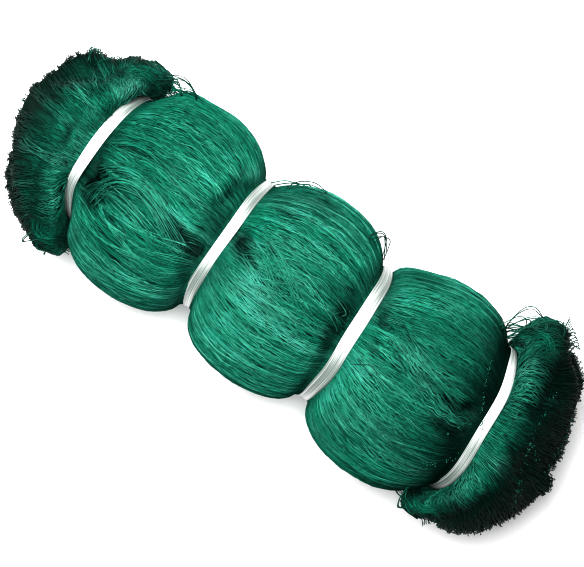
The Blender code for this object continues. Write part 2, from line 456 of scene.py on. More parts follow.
ribbonLook = {
    "white": (0.60, 0.612, 0.602, 1),
    # the grey of the fibre streaks and of the painted shade
    "grey": (0.17, 0.20, 0.185, 1),
    "roughness": 0.30,
    "specular": 0.6,
    "fibreScale": (3.0, 22.0, 1.0),
    "broadScale": (6.0, 3.0, 1.0),
    "streaks": (0.42, 3.0, 0.2),    # how much noise makes a streak, how sharp it is, its least strength
    "shadeGreyness": (1.6, 0.1),         # how grey a place of painted shade is, with the fibres and everywhere
    "bump": (0.5, 0.0004),
}


def ribbonFinish():
    # White film with fibre streaks along it: noise read across the ribbon, hardly along it, times a
    # broad noise, and greyer with painted shade where its attribute is high
    look = ribbonLook
    made = Finish("ribbonFilm", Roughness=look["roughness"], Specular_IOR_Level=look["specular"])
    fibres = made.runNoise(look["fibreScale"], 3.0)
    broad = made.runNoise(look["broadScale"])
    start, sharp, least = look["streaks"]
    withFibres, everywhere = look["shadeGreyness"]
    streaks = (fibres - start) * sharp * (broad + least)
    share = (streaks + made.attribute("dullAndShaded") * (fibres * withFibres + everywhere)).clipped()
    made.feed("Base Color", made.mixed(share, look["white"], look["grey"]))
    made.bump(*look["bump"], fibres)
    return made.material


twine, twineUnder, ribbonFilm = twineFinish(), underFinish(), ribbonFinish()
print("stage: finishes made")


# Meshes from arrays

# Where the soft hank has settled aside, ribbons and all: x and y seen from above, how far round it, and
# the move along X and Y
settled = (
    (-0.232, -0.082, 0.022, 0.008, 0.000),
    (-0.226, 0.068, 0.020, 0.003, 0.000),
    (-0.079, -0.084, 0.020, 0.003, 0.000),
    (0.075, -0.050, 0.035, 0.005, 0.000),
    (0.222, 0.074, 0.032, -0.008, 0.000),
    (0.232, -0.062, 0.038, 0.0075, 0.000),
    (0.262, 0.108, 0.030, 0.009, -0.002),
    (0.235, 0.128, 0.014, 0.003, -0.003),
    (0.325, -0.016, 0.014, 0.007, 0.000),
    (0.322, 0.010, 0.014, 0.003, 0.000),
    (0.285, 0.088, 0.020, 0.004, 0.002),
    (-0.230, -0.068, 0.014, 0.003, 0.000),
    (0.235, -0.118, 0.030, 0.000, 0.006),
    (-0.300, 0.065, 0.020, -0.008, 0.003),
    (-0.277, 0.088, 0.014, 0.004, -0.006),
    (-0.228, 0.110, 0.028, 0.000, -0.007),
    (-0.322, 0.005, 0.040, -0.003, 0.000),
    (-0.215, -0.118, 0.020, 0.000, 0.005),
    (-0.190, 0.092, 0.018, -0.003, 0.004),
    (0.084, 0.080, 0.020, -0.008, 0.002),
)


def settle(points):
    # Each move times a Gaussian of the distance in plan to its place, all added
    moved = points.copy()
    for x, y, around, moveX, moveY in settled:
        share = np.exp(-((points[:, 0] - x) ** 2 + (points[:, 1] - y) ** 2) / around ** 2)
        moved[:, 0] += moveX * share
        moved[:, 1] += moveY * share
    return moved


def linked(name, data):
    made = bpy.data.objects.new(name, data)
    bpy.context.scene.collection.objects.link(made)
    return made


def meshPiece(name, points, loops, sizes, material, replaced, maps, values):
    # A piece from its points, its faces' corners in one row and how many corners each face has
    points = settle(points)
    mesh = bpy.data.meshes.new(name)
    mesh.vertices.add(len(points))
    mesh.vertices.foreach_set("co", np.ascontiguousarray(points, np.float32).ravel())
    mesh.loops.add(len(loops))
    mesh.loops.foreach_set("vertex_index", loops.astype(np.int32))
    mesh.polygons.add(len(sizes))
    mesh.polygons.foreach_set("loop_start", (np.cumsum(sizes) - sizes).astype(np.int32))
    mesh.update(calc_edges=True)
    mesh.shade_smooth()
    for label, uv in maps:
        layer = mesh.uv_layers.new(name=label)
        layer.uv.foreach_set("vector", np.ascontiguousarray(uv, np.float32).ravel())
    for label, value in values:
        held = mesh.attributes.new(label, "FLOAT", "POINT")
        held.data.foreach_set("value", np.ascontiguousarray(value, np.float32).ravel())
    mesh.materials.append(material)
    piece = linked(name, mesh)
    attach(piece, "root")
    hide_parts(*replaced)
    edge = np.empty(len(mesh.loops), np.int32)
    mesh.loops.foreach_get("edge_index", edge)
    closed = bool((np.bincount(edge, minlength=len(mesh.edges)) == 2).all())    # two faces at every edge
    triangles = int((sizes - 2).sum())
    print(f"piece {name}: {triangles} triangles, closed {closed}, valid {not mesh.validate()}")
    return piece


def sideCorners(value, beside):
    # Corner values of the faces between neighbouring rings, from those at the rings' points and at the
    # next points round
    before, after = value[..., :-1, :], value[..., 1:, :]
    return np.stack([before, beside[..., :-1, :], beside[..., 1:, :], after], axis=-1)


def tubeCorners(value, beside):
    # Corner values of tubes: their sides, then their two caps
    caps = np.stack([value[:, 0, ::-1], value[:, -1]], axis=1)
    return np.concatenate([sideCorners(value, beside).ravel(), caps.ravel()])


def stripMap(count, points, sides):
    # One strip of the map for each strand, in columns of strips: along the strip runs the strand. u, and
    # v at each point and at the next one round
    columns = max(1, round(math.sqrt(count / points / 3)))
    rows = math.ceil(count / columns)
    strand = np.arange(count)[:, None, None]
    along = np.linspace(0.01, 0.99, points)[:, None]
    around = np.linspace(0.04, 0.96, sides + 1)
    u = (strand // rows + along) / columns + np.zeros(sides)
    v = (strand % rows + around) / rows + np.zeros((points, 1))
    return u, v[..., :-1], v[..., 1:]


def pathLength(path, counted=1):
    # The length reached at each point of each path, over the steps that are counted
    step = np.linalg.norm(np.diff(path, axis=1), axis=-1) * counted
    return np.concatenate([np.zeros((len(path), 1)), np.cumsum(step, axis=1)], axis=1)


def tubes(name, path, outward, radius, tone, shade, sides=3):
    # Strands as closed tubes: round every point of a path stand a few points at the radius, on the two
    # directions square to the path, and both ends are capped
    count, points = path.shape[:2]
    # Painted light and shade of the broad patches
    tone, shade = patched(path, tone, shade)
    ahead = unit(np.gradient(path, axis=1))
    aside = unit(np.cross(ahead, outward))
    upward = np.cross(aside, ahead)
    turn = (np.arange(sides) * 2 * math.pi / sides)[:, None]
    ring = upward[:, :, None] * np.cos(turn) + aside[:, :, None] * np.sin(turn)
    grid = path[:, :, None] + ring * radius[:, :, None, None]
    index = np.arange(count * points * sides).reshape(count, points, sides)
    loops = tubeCorners(index, np.roll(index, -1, axis=2))
    sizes = np.concatenate([np.full(count * (points - 1) * sides, 4), np.full(count * 2, sides)])
    u, v, vNext = stripMap(count, points, sides)
    uv = np.stack([tubeCorners(u, u), tubeCorners(v, vNext)], axis=-1)
    spread = np.ones((count, points, sides))
    reached = pathLength(path)[:, :, None] * spread
    number = 1.7 * np.arange(count)[:, None, None] * spread     # keeps the strands' patterns apart
    run = np.stack([tubeCorners(reached, reached), tubeCorners(number, number)], axis=-1)
    values = [("tone", np.broadcast_to(tone, (count, points))[:, :, None] * spread),
              ("shade", np.broadcast_to(shade, (count, points))[:, :, None] * spread)]
    return meshPiece(name, grid.reshape(-1, 3), loops, sizes, twine, ("net_hank",),
                     maps=[("OFBake", uv), ("run", run)], values=values)


def strands(random, name, path, outward, tone, shade):
    # Tubes of the twine's own uneven thickness, with a bead here and there
    look, size = twines, path.shape[:2]
    bead = random.uniform(0, 1, size) > look["beadOver"]
    radius = look["radius"] * (1 + random.normal(0, look["uneven"], size) + look["beads"] * bead)
    return tubes(name, path, outward, radius, tone, shade)


# Strands lie in locks, and locks in wisps, as net gathered by hand does

twines = {
    "radius": 0.00047,
    "uneven": 0.08,         # how much the thickness varies
    "beads": 0.35,          # how much thicker a strand is where a knot lies behind it
    "beadOver": 0.82,       # a draw between 0 and 1 above this makes a bead
    "mesh": 0.040,          # each twine zigzags from knot to knot, with rounded corners
    "meshSpread": (0.8, 1.25),
    "zigzag": 0.0012,
    "zigzagSpread": (0.3, 1.6),
    "corner": 0.98,
    "kink": 0.00022,        # short bends left in the twine by its knots
    "kinkLength": 0.016,
    "kinkSpread": (0.7, 1.4),
    "kinkSwell": (4.4, 0.6, 1.5),   # length over which they swell, in kinks, and its spread
    "under": 0.0008,        # every other strand lies this much lower, and is this much darker with painted shade
    "underTone": 0.12,
    "lock": (16, 44),       # strands to a lock
    "wisp": (3, 8),         # strands to a wisp
    # how a lock, a wisp and a strand wander sideways, and a lock and a strand up and down: how many
    # waves, their height, how fast the short ones fall off
    "lockSway": (3, 0.0009, 1.0),
    "wispSway": (6, 0.0003, 0.7),
    "strandSway": (11, 0.0002, 0.3),
    "lockLift": (3, 0.0008, 1.0),
    "strandLift": (9, 0.00035, 0.4),
    "lockDepth": 0.0012,    # the furrow between two locks
    "wispDepth": 0.0006,
    "tone": 0.52,
    "lockTone": 0.05,       # how much the tone varies by lock, by wisp and by strand
    "wispTone": 0.06,
    "strandTone": 0.10,
    "darkDepth": 0.006,     # a strand this deep is fully dark with painted shade
}


def lockOf(random, count, low, high):
    # Cuts a row of strands into locks of low to high strands: each one's lock, and its place in the lock
    # from -1 to 1
    widths = random.integers(low, high + 1, count // low + 2)
    ends = np.cumsum(widths)
    strand = np.arange(count)
    lock = np.searchsorted(ends, strand, side="right")
    return lock, (strand - (ends - widths)[lock] + 0.5) / widths[lock] * 2 - 1


def waves(random, rows, share, modes, height, falling=1.0):
    # A sum of sines along a strand, each row with its own phases and heights, the long ones tallest
    order = np.arange(1, modes + 1)
    tall = random.normal(0, 1, (rows, modes)) / order ** falling
    phase = random.uniform(0, 2 * math.pi, (rows, modes))
    turns = math.pi * order[None, :, None] * share[:, None, :]
    return height * (tall[:, :, None] * np.sin(turns + phase[:, :, None])).sum(axis=1)


def kinks(random, along, length, height):
    # Short waves of about one length, their height rising and falling along the twine
    rows = (len(along), 1)
    swell, *swellSpread = twines["kinkSwell"]
    turns = 2 * math.pi * along / length * random.uniform(*twines["kinkSpread"], rows)
    slow = 2 * math.pi * along / (swell * length) * random.uniform(*swellSpread, rows)
    turns = turns + random.uniform(0, 2 * math.pi, rows)
    slow = slow + random.uniform(0, 2 * math.pi, rows)
    return height * (1 + np.sin(slow)) * np.sin(turns)


def comb(random, count, share, length):
    # Strands side by side: how far each is moved sideways and up, its tone and its lock. Sideways it
    # zigzags as the arcsine of a sine, with kinks and waves
    look = twines
    lock, inLock = lockOf(random, count, *look["lock"])
    wisp, inWisp = lockOf(random, count, *look["wisp"])
    locks, wisps = lock.max() + 1, wisp.max() + 1
    odd = (np.arange(count) % 2)[:, None]
    along = share * np.reshape(length, (-1, 1)) + np.zeros((count, 1))
    mesh = look["mesh"] * random.uniform(*look["meshSpread"], (count, 1))
    phase = 2 * math.pi * along / mesh + random.uniform(0, 2 * math.pi, (count, 1))
    sideways = look["zigzag"] * random.uniform(*look["zigzagSpread"], (count, 1))
    sideways = sideways * np.arcsin(np.sin(phase) * look["corner"])
    sideways = sideways + kinks(random, along, look["kinkLength"], look["kink"])
    sideways = sideways + waves(random, locks, share, *look["lockSway"])[lock]
    sideways = sideways + waves(random, wisps, share, *look["wispSway"])[wisp]
    sideways = sideways + waves(random, count, share, *look["strandSway"])
    height = waves(random, locks, share, *look["lockLift"])[lock]
    height = height - look["lockDepth"] * np.abs(inLock)[:, None] ** 3
    height = height - look["wispDepth"] * np.abs(inWisp)[:, None] ** 2 - look["under"] * odd
    height = height + waves(random, count, share, *look["strandLift"])
    height = height + kinks(random, along, 1.4 * look["kinkLength"], look["kink"])
    tone = random.normal(0, look["lockTone"], locks)[lock]
    tone = tone + random.normal(0, look["wispTone"], wisps)[wisp]
    tone = look["tone"] + tone + random.normal(0, look["strandTone"], count)
    # the lower strands are darker with painted shade
    tone = tone - look["underTone"] * odd[:, 0]
    return sideways, height, tone[:, None] + 0 * along, lock


def buried(height, most=0.5):
    # Painted shade: strands that lie deeper are darker, in a straight line
    return np.clip(-height / twines["darkDepth"], 0, most)


# Creases seen from above, each along a line: x and y at its start, x and y at its end, half width,
# depth, and dark for the painted shade in it
creases = (
    (-0.207, 0.010, -0.170, 0.023, 0.0022, 0.0030, 0.90),
    (-0.216, -0.018, -0.200, -0.032, 0.0090, 0.0060, 0.90),
    (-0.167, -0.004, -0.121, -0.022, 0.0022, 0.0030, 0.70),
    (-0.121, -0.022, -0.092, -0.026, 0.0050, 0.0060, 0.95),
    (-0.088, 0.052, -0.100, 0.025, 0.0060, 0.0020, 0.60),
    (-0.098, 0.022, -0.091, -0.028, 0.0065, 0.0030, 0.45),
    (-0.094, -0.030, -0.088, -0.055, 0.0060, 0.0020, 0.70),
    (-0.178, -0.047, -0.165, -0.051, 0.0014, 0.0020, 0.70),
    (-0.168, -0.056, -0.152, -0.059, 0.0014, 0.0020, 0.70),
    (-0.160, -0.049, -0.146, -0.055, 0.0014, 0.0020, 0.60),
    (-0.190, -0.024, -0.168, -0.013, 0.0016, 0.0020, 0.60),
    (-0.188, -0.033, -0.162, -0.021, 0.0016, 0.0020, 0.60),
    (-0.067, 0.008, -0.060, 0.001, 0.0085, 0.0060, 0.95),
    (-0.054, -0.002, -0.041, -0.008, 0.0045, 0.0030, 0.80),
    (-0.037, 0.017, -0.033, 0.013, 0.0025, 0.0030, 0.80),
    (0.003, -0.009, 0.008, -0.013, 0.0025, 0.0025, 0.70),
    (-0.055, 0.049, -0.010, 0.062, 0.0016, 0.0020, 0.60),
    (0.056, 0.052, 0.056, 0.010, 0.0100, 0.0015, 0.50),
    (0.056, 0.008, 0.058, -0.024, 0.0090, 0.0020, 0.85),
    (0.060, -0.026, 0.061, -0.070, 0.0060, 0.0015, 0.45),
    (0.046, 0.028, 0.054, 0.026, 0.0022, 0.0015, 0.75),
    (-0.222, 0.020, -0.222, -0.010, 0.0040, 0.0015, 0.70),
    (-0.216, -0.026, -0.200, -0.044, 0.0090, 0.0040, 0.85),
    (-0.218, -0.030, -0.206, -0.032, 0.0090, 0.0050, 0.90),
    (-0.062, 0.070, -0.020, 0.084, 0.0140, 0.0005, 0.50),
    (0.080, 0.056, 0.104, 0.084, 0.0130, 0.0005, 0.40),
    (0.250, 0.102, 0.264, 0.120, 0.0200, 0.0000, 0.65),
    (0.216, 0.104, 0.246, 0.124, 0.0120, 0.0000, 0.60),
    (0.262, 0.078, 0.272, 0.040, 0.0130, 0.0000, 0.45),
    (-0.218, 0.080, -0.212, 0.090, 0.0070, 0.0000, 0.60),
    (0.194, 0.088, 0.204, 0.030, 0.0240, 0.0005, 0.60),
    (-0.196, -0.008, -0.176, -0.014, 0.0022, 0.0015, 0.75),
    (-0.186, -0.026, -0.168, -0.028, 0.0018, 0.0015, 0.70),
    (-0.206, -0.052, -0.190, -0.046, 0.0018, 0.0015, 0.70),
    (-0.150, -0.040, -0.128, -0.034, 0.0016, 0.0015, 0.70),
    (-0.190, 0.000, -0.150, 0.006, 0.0012, 0.0012, 0.60),
    (-0.140, 0.012, -0.112, 0.006, 0.0012, 0.0012, 0.55),
    (-0.100, 0.062, -0.096, 0.030, 0.0050, 0.0015, 0.60),
    (0.206, 0.066, 0.214, 0.020, 0.0100, 0.0015, 0.70),
    (0.206, -0.020, 0.212, -0.060, 0.0110, 0.0015, 0.70),
    (0.100, 0.030, 0.130, 0.020, 0.0012, 0.0012, 0.60),
    (0.112, 0.006, 0.136, -0.004, 0.0014, 0.0015, 0.75),
    (0.150, 0.014, 0.176, 0.010, 0.0012, 0.0012, 0.65),
    (0.150, -0.014, 0.176, -0.018, 0.0014, 0.0015, 0.75),
    (-0.296, 0.064, -0.262, 0.056, 0.0030, 0.0030, 0.80),
    (-0.270, 0.082, -0.250, 0.066, 0.0030, 0.0030, 0.75),
    (-0.254, -0.004, -0.246, -0.020, 0.0045, 0.0020, 0.60),
    (-0.276, -0.060, -0.240, -0.074, 0.0120, 0.0020, 0.60),
    (-0.300, 0.010, -0.280, 0.014, 0.0040, 0.0015, 0.50),
    (-0.262, 0.040, -0.250, 0.046, 0.0040, 0.0015, 0.50),
    (0.087, 0.025, 0.092, 0.020, 0.0065, 0.0035, 0.80),
    (0.090, 0.001, 0.098, -0.008, 0.0045, 0.0020, 0.50),
    (0.121, -0.007, 0.127, -0.011, 0.0028, 0.0030, 0.80),
    (0.158, -0.006, 0.174, -0.004, 0.0052, 0.0055, 1.00),
    (0.184, -0.006, 0.202, 0.001, 0.0068, 0.0055, 1.00),
    (0.176, -0.026, 0.205, -0.024, 0.0060, 0.0030, 0.80),
)
creaseEdge = 1.5        # above 1, the bottom of a crease is flatter than a Gaussian's

# Broad patches of painted light, or of painted shade where the amount is negative, seen from above:
# x, y, half length, half width, amount
lightAndShadePatches = (
    (-0.165, 0.072, 0.040, 0.016, -0.30),
    (-0.124, 0.080, 0.020, 0.016, -0.20),
    (-0.198, 0.046, 0.012, 0.024, -0.32),
    (-0.177, -0.031, 0.014, 0.012, -0.30),
    (-0.088, -0.030, 0.007, 0.014, -0.45),
    (-0.158, -0.012, 0.010, 0.010, -0.28),
    (-0.193, -0.014, 0.012, 0.010, -0.35),
    (-0.213, 0.013, 0.008, 0.020, -0.30),
    (-0.092, 0.011, 0.006, 0.016, -0.40),
    (-0.206, -0.034, 0.008, 0.008, -0.50),
    (-0.160, -0.092, 0.022, 0.016, -0.26),
    (-0.118, -0.070, 0.024, 0.012, -0.34),
    (-0.196, -0.088, 0.010, 0.020, -0.50),
    (-0.086, -0.004, 0.006, 0.034, -0.50),
    (-0.065, -0.040, 0.009, 0.020, -0.45),
    (-0.052, -0.054, 0.010, 0.020, -0.22),
    (-0.055, -0.078, 0.012, 0.022, -0.26),
    (-0.056, 0.054, 0.024, 0.012, -0.55),
    (-0.049, -0.008, 0.010, 0.008, -0.30),
    (0.040, -0.074, 0.010, 0.010, -0.28),
    (-0.020, 0.074, 0.032, 0.012, -0.34),
    (0.024, 0.070, 0.026, 0.016, -0.26),
    (0.030, 0.018, 0.018, 0.010, -0.20),
    (0.040, 0.026, 0.014, 0.016, -0.28),
    (0.046, -0.004, 0.012, 0.014, -0.24),
    (0.080, 0.036, 0.012, 0.018, -0.60),
    (0.117, 0.078, 0.030, 0.014, -0.26),
    (0.165, 0.058, 0.030, 0.016, -0.32),
    (0.098, -0.088, 0.010, 0.020, -0.20),
    (0.112, -0.100, 0.022, 0.014, -0.26),
    (0.145, -0.066, 0.045, 0.012, -0.30),
    (0.105, -0.057, 0.016, 0.006, -0.28),
    (0.119, 0.010, 0.008, 0.006, -0.28),
    (0.152, -0.001, 0.012, 0.005, -0.36),
    (0.176, -0.068, 0.024, 0.016, -0.26),
    (-0.275, -0.050, 0.022, 0.045, -0.44),
    (-0.240, -0.084, 0.014, 0.016, -0.40),
    (-0.252, -0.030, 0.012, 0.022, -0.36),
    (-0.249, 0.002, 0.010, 0.018, -0.42),
    (-0.240, 0.060, 0.008, 0.010, -0.40),
    (-0.231, 0.094, 0.010, 0.012, -0.35),
    (-0.237, 0.080, 0.010, 0.016, -0.35),
    (0.240, 0.088, 0.014, 0.020, -0.58),
    (0.246, 0.114, 0.018, 0.014, -0.60),
    (0.180, -0.006, 0.022, 0.007, -0.25),
    (0.247, 0.056, 0.011, 0.026, -0.48),
    (0.244, 0.018, 0.008, 0.014, -0.34),
    (0.236, -0.023, 0.008, 0.012, -0.28),
    (0.256, -0.066, 0.010, 0.012, -0.44),
    (0.237, -0.085, 0.012, 0.020, -0.60),
    (-0.268, 0.047, 0.014, 0.014, 0.45),
    (-0.233, 0.062, 0.006, 0.014, 0.70),
    (-0.236, -0.060, 0.005, 0.012, 0.30),
    (-0.128, -0.018, 0.026, 0.010, 0.16),
    (-0.106, 0.010, 0.010, 0.014, 0.14),
    (-0.103, -0.028, 0.010, 0.010, 0.38),
    (-0.157, -0.040, 0.016, 0.010, 0.18),
    (-0.090, 0.066, 0.012, 0.010, 0.30),
    (-0.013, 0.040, 0.036, 0.012, 0.14),
    (-0.030, 0.020, 0.022, 0.008, 0.14),
    (-0.048, 0.010, 0.010, 0.006, 0.22),
    (0.048, -0.018, 0.008, 0.006, 0.24),
    (0.034, -0.045, 0.024, 0.008, 0.14),
    (0.017, 0.051, 0.016, 0.008, 0.14),
    (-0.026, -0.024, 0.016, 0.014, 0.40),
    (-0.004, -0.034, 0.034, 0.018, 0.24),
    (0.098, -0.028, 0.018, 0.020, 0.30),
    (0.134, 0.004, 0.022, 0.010, 0.20),
    (0.110, 0.042, 0.016, 0.008, 0.16),
    (0.117, -0.079, 0.014, 0.008, 0.24),
    (0.229, 0.062, 0.007, 0.020, 0.24),
    (0.254, -0.024, 0.012, 0.010, 0.45),
    (0.231, -0.055, 0.006, 0.018, 0.22),
)

# Where the strands are swept aside, seen from above: x, y, half length, half width, how far towards -Y,
# and how far they part
sweeps = (
    (-0.204, -0.027, 0.016, 0.012, 0.000, 0.0035),
    (-0.158, -0.022, 0.024, 0.020, -0.010, 0.0000),
    (-0.104, -0.024, 0.016, 0.012, 0.000, 0.0025),
    (-0.060, 0.004, 0.014, 0.010, 0.000, 0.0030),
    (0.004, -0.002, 0.030, 0.020, -0.006, 0.0000),
    (0.150, 0.006, 0.026, 0.014, 0.008, 0.0000),
    (0.176, -0.004, 0.020, 0.010, 0.000, 0.0030),
)
partPull = 1.6          # a strand is pushed aside by at most 0.43 of this, times how far they part


def patched(path, tone, shade):
    # Painted light and shade under the patches, on the upper side: the sum of amount * Gaussian for the
    # lighter ones, and one less the product of 1 - amount * Gaussian for the darker ones
    upper = upperShare(path)
    for x, y, halfLength, halfWidth, amount in lightAndShadePatches:
        share = upper * bell(path[..., 0] - x, halfLength) * bell(path[..., 1] - y, halfWidth)
        if amount > 0:
            tone = tone + amount * share
        else:
            shade = darkened(shade, -amount * share)
    return tone, shade


def marks(x, y):
    # The sum of the sweeps and creases at places seen from above: a move sideways, a fall and painted
    # shade, each a Gaussian of the distance to the place or to the crease's line
    aside, fall, dark = np.zeros_like(x), np.zeros_like(x), np.zeros_like(x)
    for centreX, centreY, halfLength, halfWidth, shift, part in sweeps:
        across = (y - centreY) / halfWidth
        near = np.exp(-((x - centreX) / halfLength) ** 2 - across ** 2)
        aside = aside + near * (shift - part * across * partPull)
    for fromX, fromY, toX, toY, halfWidth, depth, darkness in creases:
        run = (toX - fromX) ** 2 + (toY - fromY) ** 2
        share = np.clip(((x - fromX) * (toX - fromX) + (y - fromY) * (toY - fromY)) / run, 0, 1)
        offX, offY = x - fromX - share * (toX - fromX), y - fromY - share * (toY - fromY)
        near = np.exp(-((offX ** 2 + offY ** 2) / halfWidth ** 2) ** creaseEdge)
        fall = fall + depth * near
        dark = darkened(dark, darkness * near)
    return aside, fall, dark


feather = {"along": 0.0035, "across": 0.0012, "strength": (1.0, 0.25), "least": 0.2}


def feathered(random, points):
    # Painted shade of the creases, read a little further on or back for each strand, and weaker for some
    rows = (len(points), 1)
    _, _, dark = marks(points[..., 0] + random.normal(0, feather["along"], rows),
                       points[..., 1] + random.normal(0, feather["across"], rows))
    return dark * np.clip(random.normal(*feather["strength"], rows), feather["least"], 1)


lobeStrands = {
    "count": 760,           # combed strands round a lobe
    "topShare": 0.50,       # how much closer they lie over the top than the mean
    "jitter": 0.0015,       # how unevenly they are spaced, in radians
    "points": 28,
    "tuck": 0.035,          # share of a strand's length tucked under each ribbon
    "freePower": 0.7,       # how soon past a ribbon a strand may leave its place
    "sink": 0.0004,         # how far the strands' centres lie inside the form
    # loose strands that lie over them: how many, to a bunch, and the spread of their places in radians
    "crossing": 70,
    "crossBeyond": 0.3,     # how far down past mid-height they lie, in radians
    "bunch": (2, 7),
    "bunchSpread": 0.008,
    "drift": 0.008,         # how far aside they run from end to end
    "crossSway": (3, 0.003),
    "crossRipple": (11, 0.0008, 0.4),
    "crossLift": (3, 0.0006),
    "crossOver": 0.0001,
    "crossTone": (0.62, 0.12),
    # how dark, and how wide a band of painted shade, it is beside the ribbon at a lobe's start and end
    "shadeBands": (
        ((0.60, 0.012), (0.35, 0.012)),
        ((0.40, 0.006), (0.35, 0.013)),
        ((0.30, 0.005), (0.88, 0.034)),
    ),
    "bandUneven": 0.25,     # how much the bands' width varies by lock
    # where a lobe has painted light: share of its length, how far round it, how much
    "paintedLight": ((0.80, 0.25, 0.06), (0.45, 0.40, 0.12), (0.30, 0.30, 0.04)),
    "seed": 11,
}


def strandSpacing(points, underRibbon):
    # Shares along a strand, closer together near the ribbons, with both ends tucked under them
    even = np.linspace(0, 1, points - 2)
    inside = 0.5 * even + 0.5 * (0.5 - 0.5 * np.cos(even * math.pi))
    inside[0], inside[-1] = 0.002, 0.998
    return np.concatenate([[-underRibbon], inside, [1 + underRibbon]])


def roundTheTop(count, topShare):
    # Angles round the hank, closer together over the top: as many to a radian as 1 + topShare sin(angle)
    fine = np.linspace(0, 2 * math.pi, 2000)
    reached = fine + topShare * (1 - np.cos(fine))
    return np.interp((np.arange(count) + 0.5) / count * 2 * math.pi, reached, fine)


def laidOn(random, form, share, start, sideways, height):
    # Strands on a form: each follows its own angle, moved sideways round the form and up from it, and
    # swept and sunk by the marks on its upper side, which also give it painted shade
    share = np.broadcast_to(share, sideways.shape)
    plain = form(share, np.broadcast_to(start[:, None], share.shape))
    upper = upperShare(plain)
    aside, fall, _ = marks(plain[..., 0], plain[..., 1])
    dark = feathered(random, plain)
    radius = np.hypot(plain[..., 1] - hank["centreAcross"], plain[..., 2] - hank["centreHeight"])
    angle = start[:, None] + (sideways + aside * upper) / radius
    outward = formNormal(form, share, angle)
    path = form(share, angle) + outward * (height - fall * upper)[..., None]
    return keptUp(path), outward, dark * upper


def lobePiece(index):
    # Combed strands side by side from ribbon to ribbon, then bunches of loose ones that wander over them
    look = lobeStrands
    random = np.random.default_rng(look["seed"] + index)
    share = strandSpacing(look["points"], look["tuck"])[None, :]
    free = np.sin(math.pi * np.clip(share, 0, 1)) ** look["freePower"]
    span = ties[index + 1]["x"] - ties[index]["x"]
    count, extra = look["count"], look["crossing"]
    start = roundTheTop(count, look["topShare"]) + random.uniform(-look["jitter"], look["jitter"], count)
    sideways, height, tone, lock = comb(random, count, share, span)

    bunch = np.repeat(np.arange(extra), random.integers(*look["bunch"], extra))[:extra]
    overStart = random.uniform(-look["crossBeyond"], math.pi + look["crossBeyond"], extra)[bunch]
    overStart = overStart + random.normal(0, look["bunchSpread"], extra)
    overSway = random.normal(0, look["drift"], extra)[bunch][:, None] * (2 * share - 1)
    overSway = overSway + waves(random, extra, share, *look["crossSway"])[bunch]
    overSway = overSway + waves(random, extra, share, *look["crossRipple"])
    overHeight = np.abs(waves(random, extra, share, *look["crossLift"])) + look["crossOver"]
    overTone = random.normal(*look["crossTone"], extra)[:, None] + 0 * share

    start = np.concatenate([start, overStart])
    sideways = np.concatenate([sideways, overSway]) * free
    height = np.concatenate([height, overHeight]) * free
    # Painted light where the lobe is lighter; painted shade in bands beside the ribbons and for deeper
    # strands
    centre, around, amount = look["paintedLight"][index]
    tone = np.concatenate([tone, overTone]) + amount * bell(share - centre, around)
    bandOf = random.normal(1, look["bandUneven"], lock.max() + 1)
    bandOf = bandOf[np.concatenate([lock, lock[:extra]])][:, None]
    path, outward, dark = laidOn(random, lobeForm(index), share, start, sideways, height - look["sink"])
    shade = darkened(dark, buried(height))
    for (darkness, width), gap in zip(look["shadeBands"][index], (share, 1 - share)):
        shade = darkened(shade, darkness * bell(np.maximum(gap, 0) * span, width * bandOf))
    strands(random, f"lobe{index + 1}Strands", path, outward, tone, shade)


for index in range(3):
    lobePiece(index)
print("stage: lobes laid")


# Heights seen from above or below

mapLook = {
    "cell": 0.0015,
    "margin": 12,
    "flareRows": (-0.9, 14.95, 640),    # first and last row of a flared end, and how many are read
    "flareColumns": 900,                # points read round its upper or lower half
    "lobeRows": 330,
    "lobeColumns": 700,
}


def neighbourSum(layer):
    # The sum of each cell and the eight round it, from a layer with a margin of one cell
    rows, columns = layer.shape[0] - 2, layer.shape[1] - 2
    return sum(layer[i:i + rows, j:j + columns] for i in range(3) for j in range(3))


def heightMap(points, sign):
    # The highest (sign 1) or lowest (-1) of many points over each cell of a plan grid. Cells beyond the
    # outline take the mean of their neighbours, as far out as the margin
    cell, margin = mapLook["cell"], mapLook["margin"]
    flat = points.reshape(-1, 3)
    low = flat[:, :2].min(axis=0) - margin * cell
    size = np.ceil((flat[:, :2].max(axis=0) + margin * cell - low) / cell).astype(int) + 1
    held = np.full(size, -np.inf)
    place = np.round((flat[:, :2] - low) / cell).astype(int)
    np.maximum.at(held, (place[:, 0], place[:, 1]), sign * flat[:, 2])
    inside = np.isfinite(held)
    for _ in range(margin):
        known = np.isfinite(held)
        total = neighbourSum(np.pad(np.where(known, held, 0), 1))
        near = neighbourSum(np.pad(known.astype(float), 1))
        held = np.where(known | (near == 0), held, total / np.maximum(near, 1))
    held = sign * np.where(np.isfinite(held), held, held[np.isfinite(held)].min())
    soft = neighbourSum(np.pad(held, 1, mode="edge")) / 9
    return {"low": low, "cell": cell, "height": soft, "slopes": np.gradient(soft, cell),
            "inside": inside.astype(float)}


def readMap(field, layer, x, y):
    # A layer of the map between its cells, by straight lines both ways
    u = np.clip((x - field["low"][0]) / field["cell"], 0, layer.shape[0] - 1.001)
    v = np.clip((y - field["low"][1]) / field["cell"], 0, layer.shape[1] - 1.001)
    i, j = u.astype(int), v.astype(int)
    u, v = u - i, v - j
    first = layer[i, j] * (1 - v) + layer[i, j + 1] * v
    return first * (1 - u) + (layer[i + 1, j] * (1 - v) + layer[i + 1, j + 1] * v) * u


def laidOver(field, x, y, sign=1):
    # The point over a place in plan, and the outward direction there, square to both slopes
    height = readMap(field, field["height"], x, y)
    slopes = [-sign * readMap(field, slope, x, y) for slope in field["slopes"]]
    outward = unit(np.stack([*slopes, np.full(x.shape, float(sign))], axis=-1))
    return np.stack([x, y, height], axis=-1), outward


